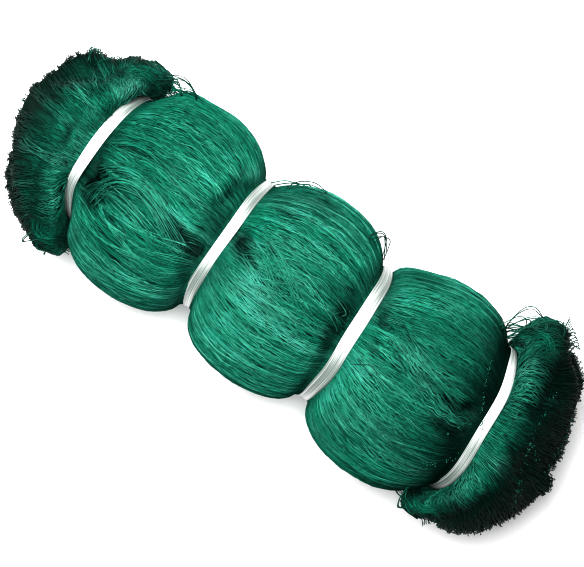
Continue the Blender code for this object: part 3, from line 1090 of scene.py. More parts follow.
def flareCloud(side, sign):
    # The points of a flared end's upper or lower half
    rows = np.linspace(*mapLook["flareRows"])
    around = sign * np.linspace(0, math.pi, mapLook["flareColumns"])
    return flareForm(flares[side])(*np.meshgrid(rows, around, indexing="ij"))


# The flared ends

flareStrands = {
    "upper": 560,           # strands over the top of a flared end, and under it
    "lower": 230,
    "points": 28,
    "lock": (6, 20),        # strands that lean aside together
    "sink": 0.0008,
    "dive": (0.0008, 0.003),        # how much deeper they lie beside the ribbon, and over what length
    "straight": 0.62,       # the share of the strands that leave the ribbon's face, not its two ends
    "spreadTurn": 1.36,     # how far round the ribbon the last of these start, in radians
    "endTurn": 0.16,        # and how much further round the others do
    "turn": math.radians(64),       # how far aside the last of these run
    "turnPower": 1.25,
    "sideTurn": math.radians(114),  # how far aside the strands from the ribbon's two ends run
    "turnLength": 0.005,    # the length over which they turn aside, and over which they lean
    "swayLength": 0.03,
    "sway": 0.055,          # how far aside a lock leans and a strand leans, in radians
    "ownSway": 0.015,
    "reach": 0.20,          # longer than any strand
    "step": 0.0008,
    # how far under the ribbon the middle strands start, up to which share and over what fade, how far
    # the side ones lap over it, from which share and over what fade, and how uneven both are
    "tuck": (0.0050, 0.36, 0.14),
    "lap": (0.40, 0.25),
    "tuckUneven": (0.0004, 0.0006),
    "near": 0.010,          # a strand never ends nearer to the ribbon than this
    "ragged": (0.0006, 0.0004),     # how uneven the rim is by lock and by strand
    "meet": (0.004, 0.015),         # how far past mid-height their ends reach
    "meetLength": 0.003,
    "free": (0.15, 0.8),    # how soon past the ribbon a strand may leave its place: share and power
    "tip": 0.006,           # length of a strand's tip, and how far it splays and lifts
    "splay": 0.0004,
    "lift": 0.0010,
    "combed": 0.5,          # how much of the comb's moves sideways the strands take
    "uneven": (0.004, 0.003),       # how unevenly the skirt begins by lock and by strand
    # width of the band of painted light beside the ribbon
    "collarWidth": 0.016,
    "seed": 31,
}

# Painted light and shade of a flared end: how much painted light the strands have beside the ribbon, where
# the skirt of painted shade begins and is full, how dark, width of the painted dark rim and how dark, where
# the skirt begins late as y, half width and distance, and clefts in the rim as x, y, depth and width. The
# strands at the ribbon's left and right end lie over it by the overlap
skirts = {
    "left": {"collar": 0.20, "overlap": (0.0040, 0.0004), "from": 0.022, "to": 0.075, "dark": 0.60,
             "rim": 0.020, "rimDark": 0.86, "late": (0, 1, 0),
             "clefts": ((-0.270, 0.084, 0.006, 0.005),)},
    "right": {"collar": 0.08, "overlap": (0.0045, 0.0004), "from": 0.007, "to": 0.024, "dark": 0.84,
              "rim": 0.006, "rimDark": 0.20, "late": (-0.026, 0.034, 0.016),
              "clefts": ((0.290, 0.078, 0.003, 0.005),)},
}


def fanLines(flare, count):
    # Plan lines from under the ribbon. q runs from 1 to -1 over the strands. Those under "straight" start
    # side by side over the ribbon's face and turn aside by turn * (|q| / straight)^power, the others start
    # at the ribbon's two ends and curl round towards the side turn
    look, tie = flareStrands, ties[flare["tie"]]
    q = np.linspace(1, -1, count)
    share = np.minimum(np.abs(q) / look["straight"], 1)
    beyond = rising(np.abs(q) - look["straight"], 1 - look["straight"])
    half = np.where(q > 0, tie["sides"][0], tie["sides"][1])
    start = np.sign(q) * half * np.sin(share * look["spreadTurn"] + beyond * look["endTurn"])
    turn = look["turn"] * share ** look["turnPower"] + (look["sideTurn"] - look["turn"]) * beyond
    return q, start, beyond, turn


def readAt(length, wanted, *layers):
    # Layers of values along paths, read at the wanted lengths by straight lines between the nearest two
    length = length + np.arange(length.shape[1])[None, :] * 1e-9
    rows = np.arange(len(length))[:, None]
    index = np.stack([np.searchsorted(line, asked, side="right") for line, asked in zip(length, wanted)])
    index = np.clip(index, 1, length.shape[1] - 1)
    before, after = length[rows, index - 1], length[rows, index]
    share = (wanted - before) / np.maximum(after - before, 1e-9)
    made = []
    for layer in layers:
        first, second = layer[rows, index - 1], layer[rows, index]
        made.append(first + (second - first) * share.reshape(share.shape + (1,) * (layer.ndim - 2)))
    return made


def fanPaths(side, sign, count, random):
    # Each strand on its plan line over the height map, with points evenly by length, from under the ribbon
    # to the rim: points, outward, sideways, share, length, distance past the ribbon and to the rim
    look, flare, skirt = flareStrands, flares[side], skirts[side]
    tie, outward = ties[flare["tie"]], flare["outward"]
    field = heightMap(flareCloud(side, sign), sign)
    q, start, beyond, turn = fanLines(flare, count)
    lock, _ = lockOf(random, count, *look["lock"])
    sway = random.normal(0, look["sway"], lock.max() + 1)[lock] + random.normal(0, look["ownSway"], count)
    fine = np.concatenate([np.linspace(-1, 0, 6)[:-1], np.arange(0, look["reach"], look["step"])])
    tuck, tuckFrom, tuckFade = look["tuck"]
    lapFrom, lapFade = look["lap"]
    tucked = tuck * rising(tuckFrom - np.abs(q), tuckFade) + random.normal(*look["tuckUneven"], count)
    tucked = tucked + np.where(q > 0, *skirt["overlap"]) * rising(np.abs(q) - lapFrom, lapFade) ** 2
    along = np.where(fine < 0, fine * tucked[:, None], fine)
    past = np.maximum(along, 0)
    bend = turn[:, None] * rising(past, look["turnLength"]) + sway[:, None] * rising(past, look["swayLength"])
    bend = bend * np.sign(q)[:, None]
    step = np.diff(along, axis=1, prepend=along[:, :1])
    out = tie["half"] * (1 - beyond[:, None]) + along[:, :1] + np.cumsum(step * np.cos(bend), axis=1)
    x = tie["x"] + outward * out
    y = hank["centreAcross"] + start[:, None] + np.cumsum(step * np.sin(bend), axis=1)

    within = (readMap(field, field["inside"], x, y) > 0.5) | (past < look["near"])
    rim = np.minimum.accumulate(within, axis=1).sum(axis=1) - 1
    strand = np.arange(count)
    rimX, rimY = x[strand, rim], y[strand, rim]
    kept = fine[rim] + random.normal(0, look["ragged"][0], lock.max() + 1)[lock]
    kept = kept + random.normal(0, look["ragged"][1], count)
    for cleftX, cleftY, depth, width in skirt["clefts"]:
        kept = kept - depth * bell(np.hypot(rimX - cleftX, rimY - cleftY), width)
    points, _ = laidOver(field, x, y, sign)
    length = pathLength(points, along[:, 1:] <= kept[:, None])
    share = np.linspace(0, 1, look["points"])[None, :]
    x, y, along = readAt(length, length[:, -1:] * share * 0.9999, x, y, along)
    points, normal = laidOver(field, x, y, sign)
    sideways = unit(np.cross(normal, np.gradient(points, axis=1)))
    return points, normal, sideways, share, length[:, -1], along, kept[:, None] - along


# Short strands at the rims: how long, how uneven, how far they are moved aside and up, how much lower they
# begin, how they wave, how far their ends hang, from which share, over what share and to which power
rimFill = {"count": 800, "points": 8, "length": 0.022, "uneven": (0.6, 1.3), "aside": 0.0009, "up": 0.0005,
           "lower": 0.0022, "sway": (4, 0.0005, 0.5), "hang": (0.000, 0.016),
           "hangShape": (0.45, 0.55, 1.6),
           "tone": (0.45, 0.12)}
rims = {}


def rimStrands(random, side):
    # Copies of the last part of the upper strands, moved a little aside, for the rim's own thickness. Each
    # falls at its end by hang * share^power
    look, count = rimFill, rimFill["count"]
    points, normal, _, shade = rims[side][0]
    chosen = random.integers(0, len(points), count)
    length = pathLength(points[chosen])
    share = np.linspace(0, 1, look["points"])[None, :]
    longest = length[:, -1:]
    begin = np.maximum(longest - look["length"] * random.uniform(*look["uneven"], (count, 1)), 0)
    wanted = begin + (longest - begin) * share * 0.9999
    path, up, shade = readAt(length, wanted, points[chosen], normal[chosen], shade[chosen])
    aside = unit(np.cross(up, np.gradient(path, axis=1)))
    path = path + aside * random.normal(0, look["aside"], (count, 1, 1))
    path = path + up * (random.normal(0, look["up"], (count, 1)) - look["lower"] * (1 - share))[..., None]
    path = path + aside * waves(random, count, share, *look["sway"])[..., None]
    hangFrom, hangOver, power = look["hangShape"]
    hang = random.uniform(*look["hang"], (count, 1)) * rising(share - hangFrom, hangOver) ** power
    path[..., 2] -= hang
    tone = random.normal(*look["tone"], (count, 1)) + 0 * shade
    strands(random, f"{side}RimStrands", keptUp(path), up, tone, shade)


def flarePiece(side):
    # Strands fanned out over a flared end and under it, combed, with tips that splay and meet at the rim
    look, skirt = flareStrands, skirts[side]
    random = np.random.default_rng(look["seed"] + flares[side]["tie"])
    rims[side] = []
    for count, sign in ((look["upper"], 1), (look["lower"], -1)):
        points, normal, aside, share, length, past, left = fanPaths(side, sign, count, random)
        free = rising(share, look["free"][0]) ** look["free"][1]
        sideways, height, tone, lock = comb(random, count, share, length)
        _, fall, _ = marks(points[..., 0], points[..., 1])
        dark = feathered(random, points) * (sign > 0)
        tip = 1 - rising(left, look["tip"])
        splay = random.normal(0, look["splay"], count)[:, None]
        lift = random.normal(0, look["lift"], count)[:, None]
        under = look["sink"] + look["dive"][0] * (1 - rising(past, look["dive"][1]))
        path = points + aside * (sideways * look["combed"] * free + splay * tip)[..., None]
        path = path + normal * ((height - fall * (sign > 0)) * free - under + lift * tip)[..., None]
        meet = random.uniform(*look["meet"], count)[:, None] * (1 - rising(left, look["meetLength"]))
        path[..., 2] -= sign * meet
        path = keptUp(path)
        byLock, byStrand = look["uneven"]
        uneven = random.normal(0, byLock, lock.max() + 1)[lock] + random.normal(0, byStrand, count)
        # Painted shade over the skirt and at the rim, in the creases and for deeper strands; painted light in
        # the collar beside the ribbon
        lateY, lateHalf, late = skirt["late"]
        began = past + uneven[:, None] - late * bell(path[..., 1] - lateY, lateHalf)
        share = rising(began - skirt["from"], skirt["to"] - skirt["from"])
        skirtDark = skirt["dark"] * share ** 2 * (3 - 2 * share)
        tone = tone + skirt["collar"] * bell(past, look["collarWidth"])
        rimDark = skirt["rimDark"] * bell(np.maximum(left, 0), skirt["rim"])
        shade = darkened(dark, skirtDark, rimDark, buried(height * free))
        rims[side].append((path, normal, tone, shade))
    rimStrands(random, side)
    strands(random, f"{side}FlareStrands", *[np.concatenate(parts) for parts in zip(*rims[side])])


# Strands on the wall beneath the curled sides: rows of the form that they cross, how far from straight up
# and down they stay, in radians, their length, how far apart their locks lean, how fast they come free,
# how deep their last part lies, and the painted shade beside the ribbon and at their ends
walls = {"count": 520, "points": 12, "rows": (-0.7, 6.6), "away": 0.38, "length": 0.07, "jitter": 0.002,
         "lean": 0.02, "free": 0.25, "sink": 0.0006, "endFrom": 0.8, "endDepth": 0.0030, "radius": 0.09,
         "ribbonDark": 0.35, "endDark": 0.5, "mostBuried": 0.4, "seed": 61}


def wallPiece(side):
    # Strands that climb from the ribbon's ends over the steep wall beneath the curled sides, each at its own
    # angle; none where the sine of the angle is near one, where the fan lies
    look, form = walls, flareForm(flares[side])
    random = np.random.default_rng(look["seed"] + flares[side]["tie"])
    count = look["count"]
    spread = np.linspace(-1, 1, count // 2) * (math.pi / 2 - look["away"])
    start = np.concatenate([spread, math.pi + spread]) + random.normal(0, look["jitter"], count)
    share = np.linspace(0, 1, look["points"])[None, :]
    first, last = look["rows"]
    row = first + (last - first) * share + np.zeros((count, 1))
    sideways, height, tone, lock = comb(random, count, share, look["length"])
    free = rising(share, look["free"])
    ends = rising(share - look["endFrom"], 1 - look["endFrom"])
    lean = random.normal(0, look["lean"], lock.max() + 1)[lock][:, None]
    angle = start[:, None] + sideways * free / look["radius"] + lean * share
    outward = -formNormal(form, row, angle) * flares[side]["outward"]
    path = form(row, angle) + outward * (height * free - look["sink"] - look["endDepth"] * ends)[..., None]
    # Painted shade beside the ribbon, at the deep ends and for deeper strands
    shade = look["ribbonDark"] * bell(share, look["free"]) + look["endDark"] * ends
    shade = shade + buried(height * free, look["mostBuried"])
    strands(random, f"{side}WallStrands", keptUp(path), outward, tone, shade)


for side in flares:
    flarePiece(side)
    wallPiece(side)
print("stage: flared ends laid")


# Loops at the rims

rimLoops = {
    "shares": (0.85, 0.60),         # loops to a strand's end, over and under the rim
    "length": {"left": (0.0004, 0.0014), "right": (0.0006, 0.0022)},
    "sizes": (0.6, 0.9, 1.2),
    "width": (0.0005, 0.0011),
    "inside": 0.0006,               # how far inside the strand's end a loop begins
    "outward": (0.5, 0.8),          # they point on along the strand and away from the hank's middle
    "scatter": 0.35,                # how far their directions vary
    "crumple": 0.00022,
    "points": 7,
    "radius": 0.00036,
    "tone": (0.45, 0.15),
    # how dark they are: the rim's painted shade
    "shade": {"left": (0.35, 0.80), "right": (0.40, 0.90)},
    "seed": 51,
}


def rimPiece(side):
    # Little teardrop loops where the strands end: base + out L sin(pi t) + aside W sin(2 pi t)
    look, tie = rimLoops, ties[flares[side]["tie"]]
    random = np.random.default_rng(look["seed"] + flares[side]["tie"])
    bases, ahead = [], []
    for (path, *_), share in zip(rims[side], look["shares"]):
        ending = path[random.uniform(0, 1, len(path)) < share]
        bases.append(ending[:, -1] - unit(ending[:, -1] - ending[:, -3]) * look["inside"])
        ahead.append(unit(ending[:, -1] - ending[:, -4]))
    base, ahead = np.concatenate(bases), np.concatenate(ahead)
    count = len(base)
    level = unit(base - np.array([tie["x"], hank["centreAcross"], hank["centreHeight"]]))
    onward, away = look["outward"]
    out = unit(onward * ahead + away * level + random.normal(0, look["scatter"], (count, 3)))
    aside = unit(np.cross(out, random.normal(0, 1, (count, 3))))
    t = np.linspace(0.02, 0.98, look["points"])[None, :, None]
    long = random.uniform(*look["length"][side], count) * random.choice(look["sizes"], count)
    wide = random.uniform(*look["width"], count)[:, None, None]
    path = base[:, None] + out[:, None] * long[:, None, None] * np.sin(math.pi * t)
    path = path + aside[:, None] * wide * np.sin(2 * math.pi * t)
    path = keptUp(path + random.normal(0, look["crumple"], path.shape))
    normal = np.broadcast_to(unit(np.cross(out, aside))[:, None], path.shape)
    tone = random.normal(*look["tone"], (count, 1))
    shade = random.uniform(*look["shade"][side], (count, 1))
    radius = np.full(path.shape[:2], look["radius"])
    tubes(f"{side}RimLoops", path, normal, radius, tone, shade)


for side in flares:
    rimPiece(side)
print("stage: rims made")


# Locks, knots and loose threads over the strands

def hankCloud():
    # Points of the whole upper side
    shares = np.linspace(0, 1, mapLook["lobeRows"])
    around = np.linspace(0, math.pi, mapLook["lobeColumns"])
    share, angle = np.meshgrid(shares, around, indexing="ij")
    lobes = [lobeForm(index)(share, angle).reshape(-1, 3) for index in range(3)]
    return np.concatenate([*lobes, *[flareCloud(side, 1).reshape(-1, 3) for side in flares]])


topMap = heightMap(hankCloud(), 1)

# Locks that lie across the rest, seen from above: x and y at the start, middle and end, strands, half
# width, rise, tone
crossingLocks = (
    (0.098, 0.024, 0.150, 0.010, 0.196, 0.004, 12, 0.0060, 0.0022, 0.62),
    (0.100, 0.012, 0.128, 0.006, 0.160, 0.010, 10, 0.0045, 0.0015, 0.60),
    (-0.204, -0.048, -0.174, -0.014, -0.100, -0.036, 14, 0.0060, 0.0020, 0.64),
    (-0.210, -0.020, -0.172, -0.003, -0.112, -0.018, 10, 0.0040, 0.0022, 0.56),
    (-0.202, -0.042, -0.174, -0.030, -0.098, -0.052, 12, 0.0070, 0.0016, 0.66),
    (-0.216, 0.004, -0.188, 0.022, -0.140, 0.020, 9, 0.0040, 0.0016, 0.58),
    (-0.060, 0.010, -0.034, 0.004, -0.006, -0.020, 9, 0.0050, 0.0010, 0.58),
    (-0.058, -0.008, -0.040, -0.014, -0.006, -0.026, 10, 0.0050, 0.0012, 0.60),
    (-0.050, 0.016, -0.014, 0.006, 0.026, -0.020, 12, 0.0070, 0.0008, 0.60),
    (-0.066, -0.020, -0.036, -0.030, 0.030, -0.034, 12, 0.0070, 0.0010, 0.62),
    (0.004, 0.008, 0.030, 0.002, 0.062, -0.010, 8, 0.0040, 0.0010, 0.60),
    (-0.236, -0.030, -0.262, -0.036, -0.296, -0.040, 14, 0.0060, 0.0018, 0.70),
    (-0.234, 0.020, -0.262, 0.030, -0.290, 0.030, 12, 0.0070, 0.0012, 0.62),
    # tufts that lie beside the ribbons' ends
    (-0.240, 0.066, -0.228, 0.084, -0.200, 0.086, 20, 0.0080, 0.0050, 0.42),
    (-0.244, 0.074, -0.230, 0.092, -0.208, 0.094, 14, 0.0060, 0.0040, 0.40),
    (-0.218, 0.088, -0.202, 0.091, -0.178, 0.093, 7, 0.0035, 0.0010, 0.30),
    (-0.240, -0.078, -0.228, -0.102, -0.204, -0.098, 18, 0.0080, 0.0060, 0.36),
    (0.240, 0.078, 0.228, 0.098, 0.206, 0.086, 16, 0.0060, 0.0040, 0.42),
    (0.228, 0.080, 0.236, 0.100, 0.250, 0.120, 24, 0.0120, 0.0030, 0.44),
    (0.236, 0.104, 0.244, 0.116, 0.252, 0.126, 16, 0.0120, 0.0020, 0.32),
    (0.238, -0.086, 0.226, -0.106, 0.206, -0.102, 14, 0.0070, 0.0050, 0.36),
    (0.226, -0.090, 0.236, -0.104, 0.252, -0.116, 16, 0.0090, 0.0030, 0.40),
    (-0.230, -0.084, -0.228, -0.102, -0.232, -0.118, 16, 0.0110, 0.0030, 0.38),
)

# Locks that are wavy too, with how many waves at the end
wavyLocks = (
    (0.100, 0.016, 0.140, 0.000, 0.178, -0.009, 8, 0.0060, 0.0022, 0.58, 6.0),
    (0.142, -0.004, 0.172, -0.010, 0.208, -0.013, 12, 0.0050, 0.0036, 0.74, 5.0),
    (0.138, -0.013, 0.170, -0.018, 0.204, -0.016, 8, 0.0040, 0.0030, 0.70, 4.5),
)

# Rows of knots seen from above: x and y at its start, middle and end, how many, scatter
knotRows = (
    (0.194, 0.051, 0.201, 0.024, 0.219, -0.005, 34, 0.0012),
    (0.190, -0.034, 0.200, -0.018, 0.209, -0.010, 16, 0.0012),
    (0.192, -0.070, 0.204, -0.056, 0.214, -0.040, 24, 0.0020),
    (0.100, -0.030, 0.130, -0.042, 0.150, -0.044, 10, 0.0030),
    (0.262, 0.066, 0.264, 0.020, 0.276, -0.006, 34, 0.0016),
    (0.276, -0.006, 0.288, -0.034, 0.296, -0.052, 26, 0.0022),
    (0.270, 0.012, 0.282, 0.004, 0.290, 0.000, 14, 0.0024),
    (0.296, 0.060, 0.306, 0.030, 0.310, -0.010, 26, 0.0020),
    (-0.150, -0.030, -0.120, -0.034, -0.098, -0.040, 12, 0.0020),
    (-0.050, 0.010, -0.030, 0.000, -0.010, -0.006, 14, 0.0040),
)

# Loose threads: x and y at its start, middle and end, height of its middle over the net, or over
# mid-height where it hangs clear of it
strays = (
    (-0.071, 0.070, -0.056, 0.084, -0.038, 0.086, 0.003),
    (-0.060, 0.074, -0.042, 0.089, -0.024, 0.091, 0.002),
    (0.034, 0.082, 0.044, 0.091, 0.056, 0.076, 0.004),
    (0.036, 0.080, 0.050, 0.088, 0.060, 0.072, 0.003),
    (0.200, 0.084, 0.214, 0.112, 0.226, 0.104, 0.012),
    (0.196, 0.082, 0.200, 0.112, 0.222, 0.112, 0.010),
    (0.204, 0.086, 0.222, 0.106, 0.236, 0.108, 0.008),
    (0.190, 0.084, 0.204, 0.104, 0.214, 0.092, 0.008),
    (0.206, 0.080, 0.226, 0.120, 0.240, 0.106, 0.006),
    (0.202, -0.096, 0.214, -0.116, 0.228, -0.104, 0.006),
    (0.200, -0.092, 0.206, -0.116, 0.222, -0.108, 0.004),
    (0.208, -0.098, 0.226, -0.114, 0.236, -0.106, 0.004),
    (-0.232, 0.090, -0.208, 0.100, -0.186, 0.092, 0.006),
    (-0.228, 0.084, -0.206, 0.094, -0.190, 0.084, 0.008),
    (-0.222, 0.080, -0.200, 0.096, -0.176, 0.088, 0.006),
    (-0.286, 0.060, -0.286, 0.074, -0.272, 0.074, 0.004),
    (-0.280, 0.064, -0.270, 0.082, -0.262, 0.076, 0.004),
    (-0.226, -0.104, -0.222, -0.120, -0.212, -0.108, 0.006),
    (-0.234, -0.100, -0.236, -0.118, -0.226, -0.106, 0.004),
    (0.040, 0.012, 0.054, 0.010, 0.058, 0.002, 0.002),
    (0.046, -0.004, 0.052, 0.008, 0.060, 0.010, 0.002),
    (0.086, -0.028, 0.100, -0.020, 0.112, -0.026, 0.001),
)

lockLook = {
    "points": 26,
    "strandSway": (5, 0.0012, 0.8),
    "lockSway": (3, 0.0015),
    "strandLift": (7, 0.0004, 0.5),
    "ripple": 0.0008,       # height of the waves of a wavy lock, and how far apart its strands' waves are
    "rippleSpread": 0.7,
    "uneven": 0.10,         # how unevenly the strands end, as a share of their length
    "narrow": (1.3, 0.6),   # width at the ends, and how much narrower the middle is, in half widths
    "bodyPower": 0.6,
    "round": 0.7,           # how much lower the outer strands lie
    "tuck": 0.0022,         # how deep their ends lie
    # painted shade where their ends tuck under
    "endDark": 0.75,
    "toneSpread": 0.10,
    "seed": 91,
}


def throughThree(start, middle, end, share):
    # A plan curve that passes three places: (1 - s)^2 A + 2 s (1 - s) B + s^2 C, B set so that the
    # middle is met halfway
    control = 2 * middle - (start + end) / 2
    s = share[..., None]
    return (1 - s) ** 2 * start + 2 * s * (1 - s) * control + s ** 2 * end


def lockPiece():
    # Each lock's strands run side by side along its curve, closer in its middle, and rise over the net by
    # rise * body, with body the sine of the share to the body power
    look = lockLook
    random = np.random.default_rng(look["seed"])
    made = []
    share = np.linspace(0, 1, look["points"])[None, :]
    widest, narrowing = look["narrow"]
    locks = [*[(*row, 0) for row in crossingLocks], *wavyLocks]
    for *places, count, halfWidth, rise, tone, ripples in locks:
        start, middle, end = np.array(places).reshape(3, 2)
        plan = throughThree(start, middle, end, np.broadcast_to(share, (count, look["points"])))
        ahead = unit(np.gradient(plan, axis=1))
        beside = np.stack([-ahead[..., 1], ahead[..., 0]], axis=-1)
        place = np.linspace(-1, 1, count)[:, None]
        spread = halfWidth * place * (widest - narrowing * np.sin(math.pi * share))
        spread = spread + waves(random, count, share, *look["strandSway"])
        spread = spread + waves(random, 1, share, *look["lockSway"])
        turned = 2 * math.pi * ripples * share + random.normal(0, look["rippleSpread"], (count, 1))
        ripple = look["ripple"] if ripples else 0
        plan = plan + beside * (spread + ripple * np.sin(turned))[..., None]
        long = random.uniform(-look["uneven"], look["uneven"], (count, 1))
        body = np.sin(math.pi * np.clip(share + long * (share - 0.5), 0, 1))
        body = np.clip(body, 0, 1) ** look["bodyPower"]
        height = rise * body * (1 - look["round"] * place ** 2) - look["tuck"] * (1 - body)
        height = height + waves(random, count, share, *look["strandLift"]) * body
        height = height + ripple * body * np.cos(turned)
        points, normal = laidOver(topMap, plan[..., 0], plan[..., 1])
        tone = random.normal(tone, look["toneSpread"], (count, 1)) + 0 * height
        made.append((points + normal * height[..., None], normal, tone, look["endDark"] * (1 - body)))
    strands(random, "crossingLocks", *[np.concatenate(parts) for parts in zip(*made)])


strayLook = {
    "points": 15,
    "copies": 2,            # threads to a loose place
    "jitter": 0.0018,       # how far apart their places are, and their heights
    "liftJitter": 0.002,
    "sway": (5, 0.0010, 1.2),
    "sink": 0.0012,
    "radius": 0.00058,
    "tone": (0.55, 0.15),
    "shade": (0.45, 0.90),
    "seed": 92,
}


def strayPiece():
    # Threads along plan curves. Their height is a straight line from end to end, raised by what the net
    # stands over it and by lift * sin(pi s)
    look = strayLook
    random = np.random.default_rng(look["seed"])
    table = np.repeat(np.array(strays), look["copies"], axis=0)
    count = len(table)
    share = np.linspace(0, 1, look["points"])[None, :] + np.zeros((count, 1))
    jitter = random.normal(0, look["jitter"], (count, 3, 2)) * np.array([1.0, 0.8, 1.0])[None, :, None]
    places = table[:, :6].reshape(count, 3, 2) + jitter
    plan = throughThree(places[:, None, 0], places[:, None, 1], places[:, None, 2], share)
    plan = plan + np.stack([waves(random, count, share, *look["sway"]) for _ in range(2)], axis=-1)
    path, normal = laidOver(topMap, plan[..., 0], plan[..., 1])
    within = readMap(topMap, topMap["inside"], plan[..., 0], plan[..., 1])
    lift = table[:, 6:] + random.normal(0, look["liftJitter"], (count, 1))
    straight = path[:, :1, 2] * (1 - share) + path[:, -1:, 2] * share
    over = np.maximum(path[..., 2] - straight, 0) * within
    path[..., 2] = straight + over + (np.sin(math.pi * share) * lift - look["sink"])
    tone = random.normal(*look["tone"], (count, 1))
    shade = random.uniform(*look["shade"], (count, 1))
    tubes("looseThreads", path, normal, np.full(share.shape, look["radius"]), tone, shade)


knotLook = {"size": 0.00060, "over": 0.0006, "ends": 0.35, "uneven": (0.7, 1.2), "tone": (0.65, 0.15),
            "shade": (0.1, 0.6), "seed": 93}


def knotPiece():
    # Knots as small tubes of two turns' width, lying any way
    look = knotLook
    random = np.random.default_rng(look["seed"])
    made = []
    for *places, count, scatter in knotRows:
        start, middle, end = np.array(places).reshape(3, 2)
        plan = throughThree(start, middle, end, np.sort(random.uniform(0, 1, count)))
        made.append(plan + random.normal(0, scatter, (count, 2)))
    plan = np.concatenate(made)
    count = len(plan)
    points, normal = laidOver(topMap, plan[:, 0], plan[:, 1])
    along = unit(np.cross(normal, random.normal(0, 1, (count, 3))))
    step = np.array([-1.0, -0.4, 0.4, 1.0])[None, :, None] * look["size"]
    path = points[:, None] + along[:, None] * step + normal[:, None] * look["over"]
    radius = np.array([look["ends"], 1.0, 1.0, look["ends"]]) * look["size"]
    radius = radius * random.uniform(*look["uneven"], (count, 1))
    tone = random.normal(*look["tone"], (count, 1))
    shade = random.uniform(*look["shade"], (count, 1))
    tubes("knots", path, np.broadcast_to(normal[:, None], path.shape), radius, tone, shade, sides=4)


lockPiece()
strayPiece()
knotPiece()
print("stage: locks, threads and knots laid")


# What lies under the strands: how far inside the form it is, at the rims and under the curled sides too

core = {
    "inset": 0.0021,
    "rimInset": 0.0032,
    "curlInset": 0.0035,
    "lowest": 0.0015,
    "columns": 192,
    "rows": 22,             # rings to a lobe
    "flareRows": ((14.6, 8, 12), (7.6, -0.2, 16)),  # rows of a flared end from the rim inwards
    "rimRows": (7, 4),      # the row past which the rim counts, and over how many rows
    "curlSpan": (0.5, 9, 2),        # the rows between which the curl counts, and over how many rows
    # painted shade at the rims
    "rimDark": 0.9,
    "runSize": (2 * math.pi * 0.1, 0.9),    # the run map's size round the hank and along it
}


def corePiece():
    # The hank's form from its left end to its right end, drawn in along its own normals, with closed ends
    columns = core["columns"]
    angle = np.arange(columns)[None, :] * 2 * math.pi / columns
    row = np.concatenate([np.linspace(*part) for part in core["flareRows"]])
    left, right = [flareForm(flares[side])(row[:, None] + 0 * angle, angle + 0 * row[:, None])
                   for side in flares]
    share = (0.5 - 0.5 * np.cos(np.linspace(0, math.pi, core["rows"])))[:, None]
    middle = [lobeForm(index)(share + 0 * angle, angle + 0 * share) for index in range(3)]
    grid = np.concatenate([left, *middle, right[::-1]])

    def atEnds(values):
        return np.concatenate([values, np.zeros(len(grid) - 2 * len(values)), values[::-1]])[:, None]

    rimFrom, rimOver = core["rimRows"]
    curlFrom, curlTo, curlOver = core["curlSpan"]
    rimward = atEnds(rising(row - rimFrom, rimOver))
    curled = atEnds(rising(np.minimum(row - curlFrom, curlTo - row), curlOver))
    upper = upperShare(grid)
    _, fall, dark = marks(grid[..., 0], grid[..., 1])
    inset = core["inset"] + rimward * (core["rimInset"] - core["inset"]) + fall * upper
    inset = inset + curled * core["curlInset"] * np.cos(angle) ** 2
    around = np.roll(grid, -1, axis=1) - np.roll(grid, 1, axis=1)
    grid = grid - unit(np.cross(around, np.gradient(grid, axis=0))) * inset[..., None]
    grid[..., 2] = np.maximum(grid[..., 2], core["lowest"])
    # Painted shade in the creases on the upper side and at the rims
    shade = np.maximum(dark * upper, rimward * core["rimDark"])

    rows = len(grid)
    index = np.arange(rows * columns).reshape(rows, columns)
    beside = np.roll(index, -1, axis=1)
    poles = np.array([grid[0].mean(axis=0), grid[-1].mean(axis=0)])
    first, last = [np.full(columns, rows * columns + end) for end in (0, 1)]
    caps = np.concatenate([np.stack([beside[0], index[0], first], axis=-1),
                           np.stack([index[-1], beside[-1], last], axis=-1)])
    loops = np.concatenate([sideCorners(index, beside).ravel(), caps.ravel()])
    sizes = np.concatenate([np.full((rows - 1) * columns, 4), np.full(2 * columns, 3)])
    u, step = np.arange(columns) / columns, 1 / columns
    v = np.linspace(0.02, 0.98, rows)[:, None]
    capU = np.stack([u + step, u, u + step / 2], axis=-1)
    capV = np.repeat(np.array([[0.02, 0.02, 0.0], [0.98, 0.98, 1.0]]), columns, axis=0)
    u, v = u + 0 * v, v + 0 * u
    uv = np.stack([np.concatenate([sideCorners(u, u + step).ravel(), capU.ravel(), capU.ravel()]),
                   np.concatenate([sideCorners(v, v).ravel(), capV.ravel()])], axis=-1)
    meshPiece("hankUnder", np.concatenate([grid.reshape(-1, 3), poles]), loops, sizes, twineUnder,
              ("net_hank",), maps=[("OFBake", uv), ("run", uv * core["runSize"])],
              values=[("shade", np.concatenate([shade.ravel(), [core["rimDark"]] * 2]))])


corePiece()
print("stage: underlayer made")


# Ribbons

